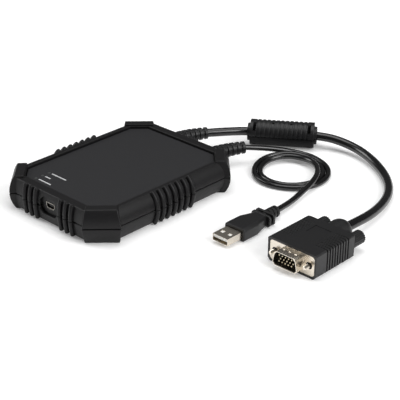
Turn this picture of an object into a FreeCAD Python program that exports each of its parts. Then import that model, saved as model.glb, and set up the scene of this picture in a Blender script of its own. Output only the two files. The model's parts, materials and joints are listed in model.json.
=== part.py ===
import FreeCAD, Part
import math
import operator
import os
import types

import Sketcher
from FreeCAD import Placement, Rotation, Vector

# Crash cart adapter: a ribbed two-part housing with corner guards, a port at its front end,
# and two captive leads at its rear end: a video lead with a clip-on ferrite and a 15-pin plug,
# and a coiled lead with a type A plug.
# Frame: millimetres, +Z up, origin under the middle of the housing, port end at -Y.

SIZES = {
    # Housing outline, measured at the seam between its two shells
    "body_length": 122.7,
    "body_width": 95.8,
    "seam_height": 11.0,
    "seam_gap": 0.4,
    "rim_height": 21.0,
    "base_height": 1.2,
    "side_lean_top": 4.8,
    "side_lean_base": 2.8,
    "end_lean_top": 1.8,
    "end_lean_base": 1.2,
    "side_wall": 4.2,
    "end_wall": 3.2,
    "corner_wall": 3.4,
    "floor_wall": 2.0,
    "roof_wall": 1.5,
    "lip_wall": 1.2,
    "lip_rise": 1.6,
    "lip_gap": 0.15,
    # Corner guards, which stand proud of the clipped corners
    "guard_height": 22.2,
    "guard_reach": 16.4,
    "guard_proud": 4.05,
    "guard_lean": 3.6,
    "guard_depth": 6.0,
    "guard_taper_top": 2.0,
    "guard_taper_base": 1.1,
    # Grip ribs
    "rib_proud": 2.0,
    "rib_foot": 3.0,
    "rib_crest": 1.3,
    "rib_shoulder": 0.9,
    "rib_sink": 1.0,
    "rib_pitch": 5.15,
    "port_rib_start": 11.4,
    # Top panel, let into the roof
    "panel_end_margin": 8.35,
    "panel_side_margin": 8.5,
    "panel_thickness": 1.2,
    "panel_height": 19.4,
    "panel_gap": 0.5,
    # Port, and the pocket round it
    "pocket_width": 16.0,
    "pocket_low": 6.6,
    "pocket_high": 18.0,
    "pocket_clip": 3.0,
    "pocket_depth": 2.2,
    "port_width": 7.7,
    "port_tall": 3.9,
    "port_length": 9.2,
    "port_foot": 5.6,
    "port_step": 1.5,
    "port_skin": 0.35,
    "port_gap": 0.25,
    "port_proud": 0.2,
    "port_block": 3.0,
    "port_tongue_width": 3.8,
    "port_tongue_tall": 1.0,
    "port_tongue_lift": 1.5,
    "port_tongue_reach": 5.0,
    "port_contact_width": 0.35,
    "port_contact_pitch": 0.75,
    "port_contact_tall": 0.15,
    # Screws, bosses and board posts
    "case_side_inset": 10.9,
    "case_end_inset": 16.35,
    "boss_radius": 3.9,
    "case_seat": 4.4,
    "case_head_radius": 2.3,
    "case_head_tall": 1.6,
    "case_shank_radius": 1.25,
    "case_shank_length": 10.5,
    "screw_gap": 0.15,
    "post_side_inset": 11.9,
    "post_end_inset": 4.2,
    "post_radius": 2.8,
    "board_head_radius": 2.1,
    "board_head_tall": 1.3,
    "board_shank_radius": 1.0,
    "board_shank_length": 6.0,
    # Circuit board and the pieces on it
    "board_side_gap": 3.7,
    "board_tail_gap": 12.0,
    "board_thickness": 1.6,
    "board_top": 10.6,
    "board_gap": 1.0,
    "lamp_x": 25.6,
    "lamp_end_inset": 12.15,
    "lamp_pitch": 5.3,
    "lamp_side": 1.6,
    "lamp_tall": 0.8,
    "pipe_radius": 1.0,
    "pipe_gap": 0.1,
    "pipe_flange_radius": 1.7,
    "pipe_flange_tall": 0.8,
    "chip_tall": 1.5,
    "video_chip_side": 20.0,
    "video_chip_x": 4.0,
    "video_chip_y": -6.0,
    "usb_chip_side": 12.0,
    "usb_chip_x": 6.0,
    "usb_chip_inset": 20.15,
    "memory_width": 10.0,
    "memory_length": 18.0,
    "memory_x": -20.0,
    "memory_y": -4.0,
    "crystal_length": 11.0,
    "crystal_width": 4.6,
    "crystal_tall": 3.4,
    "crystal_x": 22.0,
    "crystal_inset": 19.15,
    "capacitor_radius": 3.1,
    "capacitor_tall": 5.0,
    "capacitor_pitch": 9.0,
    "capacitor_x": 24.0,
    "capacitor_y": -8.0,
    "video_header_width": 16.0,
    "usb_header_width": 9.0,
    "header_depth": 6.0,
    "header_tall": 5.4,
    "video_lead_radius": 1.9,
    "usb_lead_radius": 1.4,
    "lead_lift": 0.4,
    # Strain reliefs, clamped in the rear wall and bent by the pull of their cords
    "relief_x": 17.5,
    "relief_length": 29.5,
    "relief_bend": 31.0,
    "relief_base_radius": 5.6,
    "relief_tip_radius": 4.1,
    "relief_groove": 1.0,
    "relief_ring": 2.3,
    "relief_neck_radius": 4.4,
    "relief_flange_radius": 5.4,
    "relief_flange": 2.0,
    "relief_gap": 0.1,
    # Cords
    "video_cord_radius": 3.0,
    "usb_cord_radius": 1.9,
    "coil_x": 60.3,
    "coil_y": 98.0,
    "coil_outer_radius": 29.2,
    "coil_inner_radius": 16.2,
    "coil_edge": 1.1,
    # Clip-on ferrite
    "ferrite_x": 25.85,
    "ferrite_y": 128.55,
    "ferrite_yaw": 34.8,
    "ferrite_radius": 9.05,
    "ferrite_length": 44.5,
    "ferrite_groove": 0.45,
    "ferrite_ring": 2.0,
    "ferrite_pitch": 3.2,
    "ferrite_split": 0.3,
    "ferrite_wall": 1.65,
    "ferrite_end_wall": 2.0,
    "ferrite_bore": 3.9,
    "collar_radius": 6.2,
    "collar_length": 1.9,
    "ferrite_band": 4.35,
    "latch_width": 2.1,
    "latch_inset": 3.2,
    "latch_low": 3.7,
    "latch_high": 8.6,
    "latch_side": 2.65,
    "foot_low": 7.7,
    "foot_high": 6.0,
    "foot_side": 4.6,
    "hinge_radius": 1.0,
    "hinge_offset": 0.2,
    "hinge_length": 32.0,
    "hinge_middle": 20.0,
    "hinge_gap": 0.35,
    "trunnion_radius": 0.5,
    "trunnion_gap": 0.1,
    # Video plug
    "plug_x": 141.45,
    "hood_width": 35.6,
    "hood_tall": 15.6,
    "hood_length": 36.0,
    "hood_edge": 0.8,
    "hood_foot": 1.8,
    "hood_clip": 0.9,
    "grip_start": 10.0,
    "grip_pitch": 2.4,
    "grip_width": 1.0,
    "grip_depth": 0.7,
    "grip_wrap": 9.4,
    "crown_width": 12.0,
    "crown_length": 9.0,
    "crown_start": 20.0,
    "crown_depth": 0.35,
    "dome_radius": 7.7,
    "dome_start": 8.0,
    "dome_length": 7.0,
    "dome_tip_radius": 3.4,
    "plate_width": 32.6,
    "plate_tall": 12.8,
    "plate_clip": 1.2,
    "plate_thickness": 0.8,
    "plate_inset": 0.2,
    "plate_gap": 0.15,
    "tub_half_wide": 9.1,
    "tub_half_narrow": 7.9,
    "tub_half_tall": 4.7,
    "tub_clip": 1.5,
    "tub_skin": 0.5,
    "tub_reach": 6.3,
    "insulator_length": 12.0,
    "insulator_face": 0.6,
    "pin_radius": 0.4,
    "pin_reach": 4.4,
    "pin_pitch": 2.29,
    "pin_row": 1.98,
    "screw_spacing": 25.0,
    "jack_radius": 1.42,
    "jack_thread": 3.6,
    "jack_waist": 1.25,
    "jack_reach": 4.2,
    "jack_gap": 0.3,
    "jack_fit": 0.1,
    "knob_radius": 4.3,
    "knob_length": 11.2,
    "knob_gap": 0.4,
    "knob_hold": 7.0,
    "flute_radius": 0.35,
    # Type A plug
    "usb_x": 93.0,
    "usb_hood_front": 5.0,
    "usb_hood_width": 15.9,
    "usb_hood_tall": 8.6,
    "usb_hood_straight": 12.5,
    "usb_hood_taper": 11.0,
    "usb_hood_clip": 1.3,
    "usb_waist_width": 10.4,
    "usb_waist_tall": 7.2,
    "usb_face_step": 0.6,
    "usb_face_gap": 0.6,
    "wing_width": 15.0,
    "wing_tall": 7.6,
    "wing_thickness": 1.9,
    "wing_slot": 1.9,
    "neck_radius": 3.0,
    "neck_ring_radius": 3.8,
    "neck_ring": 1.7,
    "neck_pitch": 2.9,
    "neck_length": 9.0,
    "usb_shell_width": 12.0,
    "usb_shell_tall": 4.5,
    "usb_shell_skin": 0.3,
    "usb_shell_reach": 12.7,
    "usb_shell_buried": 6.0,
    "usb_window": 2.3,
    "usb_window_x": 2.95,
    "usb_window_y": 5.6,
    "usb_tongue_tall": 1.85,
    "usb_tongue_inset": 0.4,
    "usb_contact_width": 1.0,
    "usb_contact_tall": 0.2,
    "usb_contact_inner": 1.0,
    "usb_contact_outer": 3.5,
    "usb_contact_length": 7.4,
}

SIDE_RIBS = 7
PORT_RIBS = 3
REAR_RIBS = 4
PORT_CONTACTS = 5
LAMPS = 3
CAPACITORS = 4
RELIEF_RINGS = 8
FERRITE_RINGS = 11
GRIPS = 9
PINS_IN_ROW = 5
KNOB_FLUTES = 18
NECK_RINGS = 3
ARC_SHARE = 0.45
HALF_ROOT = math.sqrt(0.5)

# Routes of the cords past their strain reliefs, chosen by hand.
VIDEO_ROUTE = [
    (-2.8, 100.8, 10.5), (5.2, 114.1, 9.3), (25.6, 129.0, 9.05), (50.0, 144.9, 9.0),
    (64.0, 150.0, 7.0), (79.8, 149.4, 5.2), (95.0, 143.5, 3.9), (108.4, 135.2, 3.2),
    (120.2, 124.2, 3.1), (128.8, 111.8, 3.2), (134.7, 97.8, 4.0), (138.8, 83.3, 5.3),
    (141.0, 71.0, 6.7), (141.6, 60.5, 7.6),
]
USB_LEAD_ROUTE = [
    (30.1, 97.6, 9.6), (35.0, 106.6, 7.4), (40.3, 115.4, 4.9), (47.2, 122.0, 2.9),
    (55.8, 125.8, 2.0), (65.0, 124.8, 1.9),
]
USB_TAIL_ROUTE = [
    (67.2, 115.0, 3.9), (73.6, 108.6, 6.0), (79.6, 99.0, 6.6), (84.0, 88.4, 6.2),
    (87.0, 77.2, 4.0), (88.9, 66.0, 2.6), (91.3, 55.3, 3.4),
]


class Size:
    """A length that carries its number and its formula, so that arithmetic builds both."""

    def __init__(self, number, formula=None):
        self.number = float(number)
        self.formula = formula or f"({self.number!r})"

    def join(self, sign, other, work):
        other = other if isinstance(other, Size) else Size(other)
        return Size(work(self.number, other.number), f"({self.formula} {sign} {other.formula})")

    def __add__(self, other):
        return self.join("+", other, operator.add)

    def __sub__(self, other):
        return self.join("-", other, operator.sub)

    def __mul__(self, other):
        return self.join("*", other, operator.mul)

    def __truediv__(self, other):
        return self.join("/", other, operator.truediv)

    def __rsub__(self, other):
        return Size(other) - self

    def __neg__(self):
        return Size(0) - self

    __radd__ = __add__
    __rmul__ = __mul__


def bulge(rise, lean):
    """Radius of the arc that leans in by lean over rise and starts upright."""
    return (rise * rise + lean * lean) / (lean * 2)


def arc_angle(rise, radius):
    """Angle in degrees that such an arc turns through."""
    share = rise / radius
    return Size(math.degrees(math.asin(share.number)), f"asin({share.formula})")


doc = FreeCAD.newDocument("crash_cart_adapter")
sheet = doc.addObject("Spreadsheet::Sheet", "Sizes")
for row, (alias, number) in enumerate(SIZES.items(), start=1):
    sheet.set(f"A{row}", alias)
    sheet.set(f"B{row}", str(number))
    sheet.setAlias(f"B{row}", alias)
doc.recompute()
size = types.SimpleNamespace(
    **{alias: Size(sheet.get(alias), f"Sizes.{alias}") for alias in SIZES}
)
nodes = {}

ALONG_X = Rotation(Vector(0, 1, 0), 90)
ALONG_Y = Rotation(Vector(1, 0, 0), -90)
ALONG_Z = Rotation()
DIAGONAL = Rotation(Vector(0, 0, 1), 45)
# For each sketch plane: its turn, the direction a prism grows in, and that axis's letter.
PLANES = {
    "XY": (Rotation(), Vector(0, 0, 1), "z"),
    "XZ": (Rotation(Vector(1, 0, 0), 90), Vector(0, 1, 0), "y"),
    "YZ": (Rotation(Vector(1, 1, 1), 120), Vector(1, 0, 0), "x"),
}


def sized(value):
    return value if isinstance(value, Size) else Size(value)


def tie(item, prop, value):
    """Bind one property of an item to the formula of a size."""
    item.setExpression(prop, sized(value).formula)


def put(item, x=0, y=0, z=0, turn=ALONG_Z):
    """Place an item: its turn is fixed and its base is bound to sizes."""
    base = [sized(value) for value in (x, y, z)]
    item.Placement = Placement(Vector(*[value.number for value in base]), turn)
    for letter, value in zip("xyz", base):
        tie(item, f"Placement.Base.{letter}", value)
    return item


def block(name, x, y, z):
    """A box from the low to the high end of each span."""
    item = doc.addObject("Part::Box", name)
    for prop, (low, high) in zip(("Length", "Width", "Height"), (x, y, z)):
        tie(item, prop, high - sized(low))
    return put(item, x[0], y[0], z[0])


def span(middle, width):
    half = sized(width) / 2
    return (middle - half, middle + half)


def rod(name, radius, length, x, y, z, turn=ALONG_Z):
    item = doc.addObject("Part::Cylinder", name)
    tie(item, "Radius", radius)
    tie(item, "Height", length)
    return put(item, x, y, z, turn)


def outline(name, corners, turn):
    """A closed sketch through corners in counter-clockwise order; a corner's third value is
    the radius of an arc from it to the next corner."""
    sketch = doc.addObject("Sketcher::SketchObject", name)
    sketch.Placement = Placement(Vector(), turn)
    points = [Vector(sized(corner[0]).number, sized(corner[1]).number, 0) for corner in corners]
    count = len(points)
    for k, corner in enumerate(corners):
        start = points[k]
        end = points[(k + 1) % count]
        if len(corner) == 3:
            half = (end - start) * 0.5
            inward = Vector(-half.y, half.x, 0).normalize()
            depth = math.sqrt(corner[2].number ** 2 - half.Length ** 2)
            centre = start + half + inward * depth
            circle = Part.Circle(centre, Vector(0, 0, 1), corner[2].number)
            angles = [math.atan2(p.y - centre.y, p.x - centre.x) for p in (start, end)]
            sketch.addGeometry(Part.ArcOfCircle(circle, angles[0], angles[1]))
        else:
            sketch.addGeometry(Part.LineSegment(start, end))
    for k in range(count):
        sketch.addConstraint(Sketcher.Constraint("Coincident", k, 2, (k + 1) % count, 1))
    for k, corner in enumerate(corners):
        for kind, value in zip(("DistanceX", "DistanceY"), corner):
            number = sized(value).number
            index = sketch.addConstraint(Sketcher.Constraint(kind, -1, 1, k, 1, number))
            tie(sketch, f"Constraints[{index}]", value)
        if len(corner) == 3:
            index = sketch.addConstraint(Sketcher.Constraint("Radius", k, corner[2].number))
            tie(sketch, f"Constraints[{index}]", corner[2])
    return sketch


def prism(name, plane, corners, low, high):
    """An outline in a main plane, grown from low to high across it."""
    turn, direction, letter = PLANES[plane]
    sketch = outline(f"{name}_outline", corners, turn)
    tie(sketch, f"Placement.Base.{letter}", low)
    item = doc.addObject("Part::Extrusion", name)
    item.Base = sketch
    item.DirMode = "Custom"
    item.Dir = direction
    item.Solid = True
    tie(item, "LengthFwd", high - sized(low))
    return item


def turned(name, sketch, base, axis, angle):
    """A solid of revolution of a sketch about an axis through base."""
    item = doc.addObject("Part::Revolution", name)
    item.Source = sketch
    item.Axis = axis
    for letter, value in zip("xyz", base):
        tie(item, f"Base.{letter}", value)
    tie(item, "Angle", angle)
    item.Solid = True
    return item


def fuse(name, *items):
    item = doc.addObject("Part::MultiFuse", name)
    item.Shapes = list(items)
    return item


def common(name, first, second):
    item = doc.addObject("Part::Common", name)
    item.Base = first
    item.Tool = second
    return item


def cut(name, base, *tools):
    item = doc.addObject("Part::Cut", name)
    item.Base = base
    item.Tool = tools[0] if len(tools) == 1 else fuse(f"{name}_tools", *tools)
    return item


def mirrored(name, source, normal):
    item = doc.addObject("Part::Mirroring", name)
    item.Source = source
    item.Normal = normal
    return item


def group(name, *items):
    item = doc.addObject("Part::Compound", name)
    item.Links = list(items)
    return item


def node(name, item):
    """Give a finished sub-part its label, under which it is written."""
    item.Label = name
    nodes[name] = item
    return item


def shaped(name, shape):
    """A sub-part whose shape is worked out from the sheet's numbers."""
    item = doc.addObject("Part::Feature", name)
    item.Shape = shape
    item.Placement = Placement()
    return node(name, item)


def octagon(half_x, half_y, clip):
    """Corners of a rectangle with its corners clipped at 45 degrees."""
    near_x = half_x - clip
    near_y = half_y - clip
    return [
        (half_x, -near_y), (half_x, near_y), (near_x, half_y), (-near_x, half_y),
        (-half_x, near_y), (-half_x, -near_y), (-near_x, -half_y), (near_x, -half_y),
    ]


def shifted(corners, x, y):
    return [(across + x, along + y) for across, along in corners]


# Housing
half_width = size.body_width / 2
half_length = size.body_length / 2
clip_sum = half_width + half_length - size.guard_reach
seam_top = size.seam_height + size.seam_gap / 2
seam_base = size.seam_height - size.seam_gap / 2
roof_under = size.panel_height - size.panel_thickness - size.roof_wall
floor_top = size.base_height + size.floor_wall
board_under = size.board_top - size.board_thickness
ROOT_TWO = math.sqrt(2)


def housing_octagon(half_x, half_y, inset):
    """An octagon whose clipped corners lie a given inset behind the guards' chords."""
    return octagon(half_x, half_y, half_x + half_y - clip_sum + inset * ROOT_TWO)


cavity_x = half_width - size.side_wall
cavity_y = half_length - size.end_wall
panel_x = half_width - size.panel_side_margin
panel_y = half_length - size.panel_end_margin


def half_shell(name, up, side_lean, end_lean, rise):
    """Outer block of one shell: bulged sides and ends, clipped corners."""
    far = seam_top + rise if up else seam_base - rise
    near = seam_top if up else seam_base

    def section(plane, half, lean, reach):
        radius = bulge(rise, lean)
        if up:
            corners = [(-half, near), (half, near, radius), (half - lean, far),
                       (lean - half, far, radius)]
        else:
            corners = [(lean - half, far), (half - lean, far, radius), (half, near),
                       (-half, near, radius)]
        return prism(f"{name}_{plane}", plane, corners, -reach, reach)

    along = section("XZ", half_width, side_lean, half_length)
    across = section("YZ", half_length, end_lean, half_width)
    low, high = (near, far) if up else (far, near)
    clipped = prism(f"{name}_plan", "XY", housing_octagon(half_width, half_length, 0), low, high)
    return common(f"{name}_block", common(f"{name}_bulged", along, across), clipped)


def guards(name, up):
    """Four diagonal corner blocks of one shell, each with a bulged and tapering face."""
    near = seam_top if up else seam_base
    far = size.guard_height if up else sized(0)
    rise = far - near if up else near - far
    radius = bulge(rise, size.guard_lean)
    face_far = size.guard_proud - size.guard_lean
    half_near = size.guard_reach * HALF_ROOT
    half_far = half_near - (size.guard_taper_top if up else size.guard_taper_base)
    base_x = half_width - size.guard_reach / 2
    base_y = half_length - size.guard_reach / 2
    if up:
        profile = [(-size.guard_depth, near), (size.guard_proud, near, radius), (face_far, far),
                   (-size.guard_depth, far)]
        face = [(-half_near, near), (half_near, near), (half_far, far), (-half_far, far)]
    else:
        profile = [(-size.guard_depth, far), (face_far, far, radius), (size.guard_proud, near),
                   (-size.guard_depth, near)]
        face = [(-half_far, far), (half_far, far), (half_near, near), (-half_near, near)]
    solids = []
    for label, corners, plane in (("profile", profile, "XZ"), ("face", face, "YZ")):
        turn = DIAGONAL.multiply(PLANES[plane][0])
        sketch = outline(f"{name}_{label}_outline", corners, turn)
        put(sketch, base_x, base_y, 0, turn)
        item = doc.addObject("Part::Extrusion", f"{name}_{label}")
        item.Base = sketch
        item.DirMode = "Normal"
        item.Symmetric = True
        item.Solid = True
        tie(item, "LengthFwd", size.guard_reach * 2)
        solids.append(item)
    first = common(f"{name}_right_rear", *solids)
    second = mirrored(f"{name}_left_rear", first, Vector(1, 0, 0))
    third = mirrored(f"{name}_right_front", first, Vector(0, 1, 0))
    fourth = mirrored(f"{name}_left_front", second, Vector(0, 1, 0))
    return [first, second, third, fourth]


def rib(name, side, offset, up, lean, rise):
    """One grip rib: a small tapered section swept round the wall's own arc."""
    half = half_width if side == "right" else half_length
    radius = bulge(rise, lean)
    level = seam_top if up else seam_base
    reach = (half - size.rib_sink, half + size.rib_proud - size.rib_shoulder, half + size.rib_proud)
    foot = size.rib_foot / 2
    crest = size.rib_crest / 2
    section = [(reach[0], offset - foot), (reach[1], offset - foot), (reach[2], offset - crest),
               (reach[2], offset + crest), (reach[1], offset + foot), (reach[0], offset + foot)]
    if side == "right":
        axis = Vector(0, -1, 0)
        base = (half - radius, 0, level)
    elif side == "rear":
        section = [(across, out) for out, across in reversed(section)]
        axis = Vector(1, 0, 0)
        base = (0, half - radius, level)
    else:
        section = [(across, -out) for out, across in section]
        axis = Vector(-1, 0, 0)
        base = (0, radius - half, level)
    sketch = outline(f"{name}_outline", section, Rotation())
    tie(sketch, "Placement.Base.z", level)
    return turned(name, sketch, base, axis if up else -axis, arc_angle(rise, radius))


def ribs(name, up, side_lean, end_lean, rise):
    items = []
    for k in range(SIDE_RIBS):
        offset = size.rib_pitch * (k - (SIDE_RIBS - 1) / 2)
        right = rib(f"{name}_side_{k}", "right", offset, up, side_lean, rise)
        items += [right, mirrored(f"{name}_left_{k}", right, Vector(1, 0, 0))]
    for k in range(PORT_RIBS):
        offset = size.port_rib_start + size.rib_pitch * k
        front = rib(f"{name}_port_{k}", "front", offset, up, end_lean, rise)
        items += [front, mirrored(f"{name}_port_left_{k}", front, Vector(1, 0, 0))]
    for k in range(REAR_RIBS):
        offset = size.rib_pitch * (k - (REAR_RIBS - 1) / 2)
        items.append(rib(f"{name}_rear_{k}", "rear", offset, up, end_lean, rise))
    return items


def corner_places(x, y):
    """Four places at the corners of a rectangle."""
    return [(x, y), (-x, y), (x, -y), (-x, -y)]


def rods_at(name, places, radius, length, z):
    return [rod(f"{name}_{k}", radius, length, x, y, z) for k, (x, y) in enumerate(places)]


case_y = half_length - size.case_end_inset
board_shoulder = case_y - size.boss_radius - size.board_gap
case_places = corner_places(half_width - size.case_side_inset, case_y)
post_places = corner_places(half_width - size.post_side_inset, board_shoulder - size.post_end_inset)
lamp_front = size.lamp_end_inset - half_length
lamp_places = [(-size.lamp_x, lamp_front + size.lamp_pitch * k) for k in range(LAMPS)]
pocket_floor = size.pocket_depth - half_length
port_front = pocket_floor - size.port_proud
port_back = port_front + size.port_length


def port_corners(shrink):
    """Section of the port: wide above, with its lower corners cut away; shrink insets it."""
    wide = size.port_width / 2 - shrink
    foot = size.port_foot / 2 - shrink
    low = size.board_top + shrink
    step = size.board_top + size.port_step
    high = size.board_top + size.port_tall - shrink
    return [(-foot, low), (foot, low), (wide, step), (wide, high), (-wide, high), (-wide, step)]


def wall_openings(name):
    """Cutters that both shells share: the pocket, the port's window and the relief notches."""
    middle = (size.pocket_low + size.pocket_high) / 2
    tall = (size.pocket_high - size.pocket_low) / 2
    pocket = prism(f"{name}_pocket", "XZ",
                   shifted(octagon(size.pocket_width / 2, tall, size.pocket_clip), 0, middle),
                   -half_length - size.rib_proud, pocket_floor)
    window = prism(f"{name}_window", "XZ", port_corners(-size.port_gap),
                   -half_length, size.lip_wall - cavity_y)
    cutters = [pocket, window]
    for label, x in (("left", -size.relief_x), ("right", size.relief_x)):
        notch = rod(f"{name}_{label}_notch", size.relief_neck_radius + size.relief_gap,
                    size.end_wall + size.lip_wall * 2, x, cavity_y - size.lip_wall,
                    size.seam_height, ALONG_Y)
        cutters.append(notch)
    return cutters


def upper_shell():
    rise = size.rim_height - seam_top
    body = fuse("upper_body",
                half_shell("upper", True, size.side_lean_top, size.end_lean_top, rise),
                *guards("upper_guard", True),
                *ribs("upper_rib", True, size.side_lean_top, size.end_lean_top, rise))
    lip_growth = size.lip_wall + size.lip_gap
    rebate = prism("upper_rebate", "XY",
                   housing_octagon(cavity_x + lip_growth, cavity_y + lip_growth,
                                   size.corner_wall - lip_growth),
                   sized(0), seam_base + size.lip_rise + size.lip_gap)
    cavity = prism("upper_cavity", "XY", housing_octagon(cavity_x, cavity_y, size.corner_wall),
                   sized(0), roof_under)
    recess = prism("upper_recess", "XY",
                   housing_octagon(panel_x + size.panel_gap, panel_y + size.panel_gap,
                                   size.guard_depth),
                   size.panel_height - size.panel_thickness, size.guard_height + size.roof_wall)
    hollow = cut("upper_hollow", body, rebate, cavity, recess)
    bosses = rods_at("upper_boss", case_places, size.boss_radius,
                     roof_under - size.seam_height + size.roof_wall / 2, size.seam_height)
    pilots = rods_at("upper_pilot", case_places, size.case_shank_radius,
                     size.case_shank_length + size.screw_gap, size.case_seat)
    holes = rods_at("upper_lamp_hole", lamp_places, size.pipe_radius + size.pipe_gap,
                    size.guard_height - roof_under, roof_under - size.roof_wall / 2)
    filled = fuse("upper_bossed", hollow, *bosses)
    cutters = pilots + holes + wall_openings("upper")
    return node("upper_shell", cut("upper_shell", filled, *cutters))


def lower_shell():
    rise = seam_base - size.base_height
    lip = prism("lower_lip", "XY",
                housing_octagon(cavity_x + size.lip_wall, cavity_y + size.lip_wall,
                                size.corner_wall - size.lip_wall),
                floor_top, seam_base + size.lip_rise)
    body = fuse("lower_body",
                half_shell("lower", False, size.side_lean_base, size.end_lean_base, rise),
                *guards("lower_guard", False),
                *ribs("lower_rib", False, size.side_lean_base, size.end_lean_base, rise), lip)
    cavity = prism("lower_cavity", "XY", housing_octagon(cavity_x, cavity_y, size.corner_wall),
                   floor_top, size.guard_height)
    hollow = cut("lower_hollow", body, cavity)
    root = floor_top - size.floor_wall / 2
    bosses = rods_at("lower_boss", case_places, size.boss_radius, size.seam_height - root, root)
    posts = rods_at("lower_post", post_places, size.post_radius, board_under - root, root)
    filled = fuse("lower_bossed", hollow, *bosses, *posts)
    counterbores = rods_at("lower_counterbore", case_places, size.case_head_radius + size.screw_gap,
                           size.case_seat, 0)
    clearances = rods_at("lower_clearance", case_places, size.case_shank_radius + size.screw_gap,
                         size.seam_height, size.case_seat / 2)
    pilot_length = size.board_shank_length + size.screw_gap
    pilots = rods_at("lower_pilot", post_places, size.board_shank_radius, pilot_length,
                     size.board_top - pilot_length)
    cutters = counterbores + clearances + pilots + wall_openings("lower")
    return node("lower_shell", cut("lower_shell", filled, *cutters))


def top_panel():
    plate = prism("panel_plate", "XY",
                  housing_octagon(panel_x, panel_y, size.guard_depth + size.panel_gap),
                  size.panel_height - size.panel_thickness, size.panel_height)
    holes = rods_at("panel_lamp_hole", lamp_places, size.pipe_radius + size.pipe_gap,
                    size.panel_thickness * 3, size.panel_height - size.panel_thickness * 2)
    return node("top_panel", cut("top_panel", plate, *holes))


def screw_set(name, places, head, shank, seat, head_up):
    """Pan screws whose heads bear on the seat; head and shank are radius and length pairs."""
    screws = []
    head_base = seat if head_up else seat - head[1]
    shank_base = seat - shank[1] if head_up else seat
    for k, (x, y) in enumerate(places):
        screws.append(fuse(f"{name}_{k}",
                           rod(f"{name}_head_{k}", head[0], head[1], x, y, head_base),
                           rod(f"{name}_shank_{k}", shank[0], shank[1], x, y, shank_base)))
    return node(name, group(name, *screws))


upper_shell()
lower_shell()
top_panel()
screw_set("case_screws", case_places, (size.case_head_radius, size.case_head_tall),
          (size.case_shank_radius, size.case_shank_length), size.case_seat, False)
screw_set("board_screws", post_places, (size.board_head_radius, size.board_head_tall),
          (size.board_shank_radius, size.board_shank_length), size.board_top, True)

# Circuit board and the pieces on it
board_front = size.board_gap - cavity_y
board_rear = cavity_y - size.board_tail_gap
lamp_top = size.board_top + size.lamp_tall


def main_board():
    """The board: wide between the case bosses, narrow where it runs between them at each end."""
    wide = cavity_x - size.board_side_gap
    nose = clip_sum + board_front - (size.corner_wall + size.board_gap) * ROOT_TWO
    shoulder = board_shoulder
    plate = prism("board_plate", "XY",
                  [(-nose, board_front), (nose, board_front), (nose, -shoulder), (wide, -shoulder),
                   (wide, shoulder), (nose, shoulder), (nose, board_rear), (-nose, board_rear),
                   (-nose, shoulder), (-wide, shoulder), (-wide, -shoulder), (-nose, -shoulder)],
                  board_under, size.board_top)
    holes = rods_at("board_hole", post_places, size.board_shank_radius + size.screw_gap,
                    size.board_thickness * 3, board_under - size.board_thickness)
    return node("main_board", cut("main_board", plate, *holes))


def on_board(name, x, y, width, length, tall):
    """A square package standing on the board."""
    return block(name, span(x, width), span(y, length), (size.board_top, size.board_top + tall))


def status_lamps():
    lamps = [on_board(f"status_lamp_{k}", x, y, size.lamp_side, size.lamp_side, size.lamp_tall)
             for k, (x, y) in enumerate(lamp_places)]
    return node("status_lamps", group("status_lamps", *lamps))


def light_pipes():
    pipes = []
    for k, (x, y) in enumerate(lamp_places):
        stem = rod(f"pipe_stem_{k}", size.pipe_radius, size.panel_height - lamp_top, x, y, lamp_top)
        flange = rod(f"pipe_flange_{k}", size.pipe_flange_radius, size.pipe_flange_tall, x, y,
                     roof_under - size.pipe_flange_tall)
        pipes.append(fuse(f"light_pipe_{k}", stem, flange))
    return node("light_pipes", group("light_pipes", *pipes))


def capacitors():
    cans = [rod(f"capacitor_{k}", size.capacitor_radius, size.capacitor_tall, size.capacitor_x,
                size.capacitor_y + size.capacitor_pitch * k, size.board_top)
            for k in range(CAPACITORS)]
    return node("capacitors", group("capacitors", *cans))


def lead_set(name, x, header_width, lead_radius):
    """A header at the board's rear edge, and the lead from it to a strain relief's flange."""
    header = on_board(f"{name}_header", x, board_rear - size.header_depth / 2, header_width,
                      size.header_depth, size.header_tall)
    lead = rod(f"{name}_inner_lead", lead_radius, cavity_y - size.relief_flange - board_rear, x,
               board_rear, size.board_top + size.lead_lift + lead_radius, ALONG_Y)
    node(f"{name}_header", header)
    node(f"{name}_inner_lead", lead)


def port():
    """The socket: a folded metal shell, its moulded tongue and the contacts under the tongue."""
    inner_back = port_back - size.port_skin
    block_front = inner_back - size.port_block
    tongue_front = block_front - size.port_tongue_reach
    tongue_low = size.board_top + size.port_tongue_lift
    outer = prism("port_outer", "XZ", port_corners(sized(0)), port_front, port_back)
    inner = prism("port_inner", "XZ", port_corners(size.port_skin),
                  port_front - size.port_skin, inner_back)
    node("port_shell", cut("port_shell", outer, inner))
    back = prism("port_insulator_back", "XZ", port_corners(size.port_skin), block_front, inner_back)
    tongue = block("port_tongue", span(0, size.port_tongue_width),
                   (tongue_front, block_front + size.port_block / 2),
                   (tongue_low, tongue_low + size.port_tongue_tall))
    node("port_insulator", fuse("port_insulator", back, tongue))
    contacts = [block(f"port_contact_{k}",
                      span(size.port_contact_pitch * (k - (PORT_CONTACTS - 1) / 2),
                           size.port_contact_width),
                      (tongue_front + size.port_skin, block_front),
                      (tongue_low - size.port_contact_tall, tongue_low))
                for k in range(PORT_CONTACTS)]
    node("port_contacts", group("port_contacts", *contacts))


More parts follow.
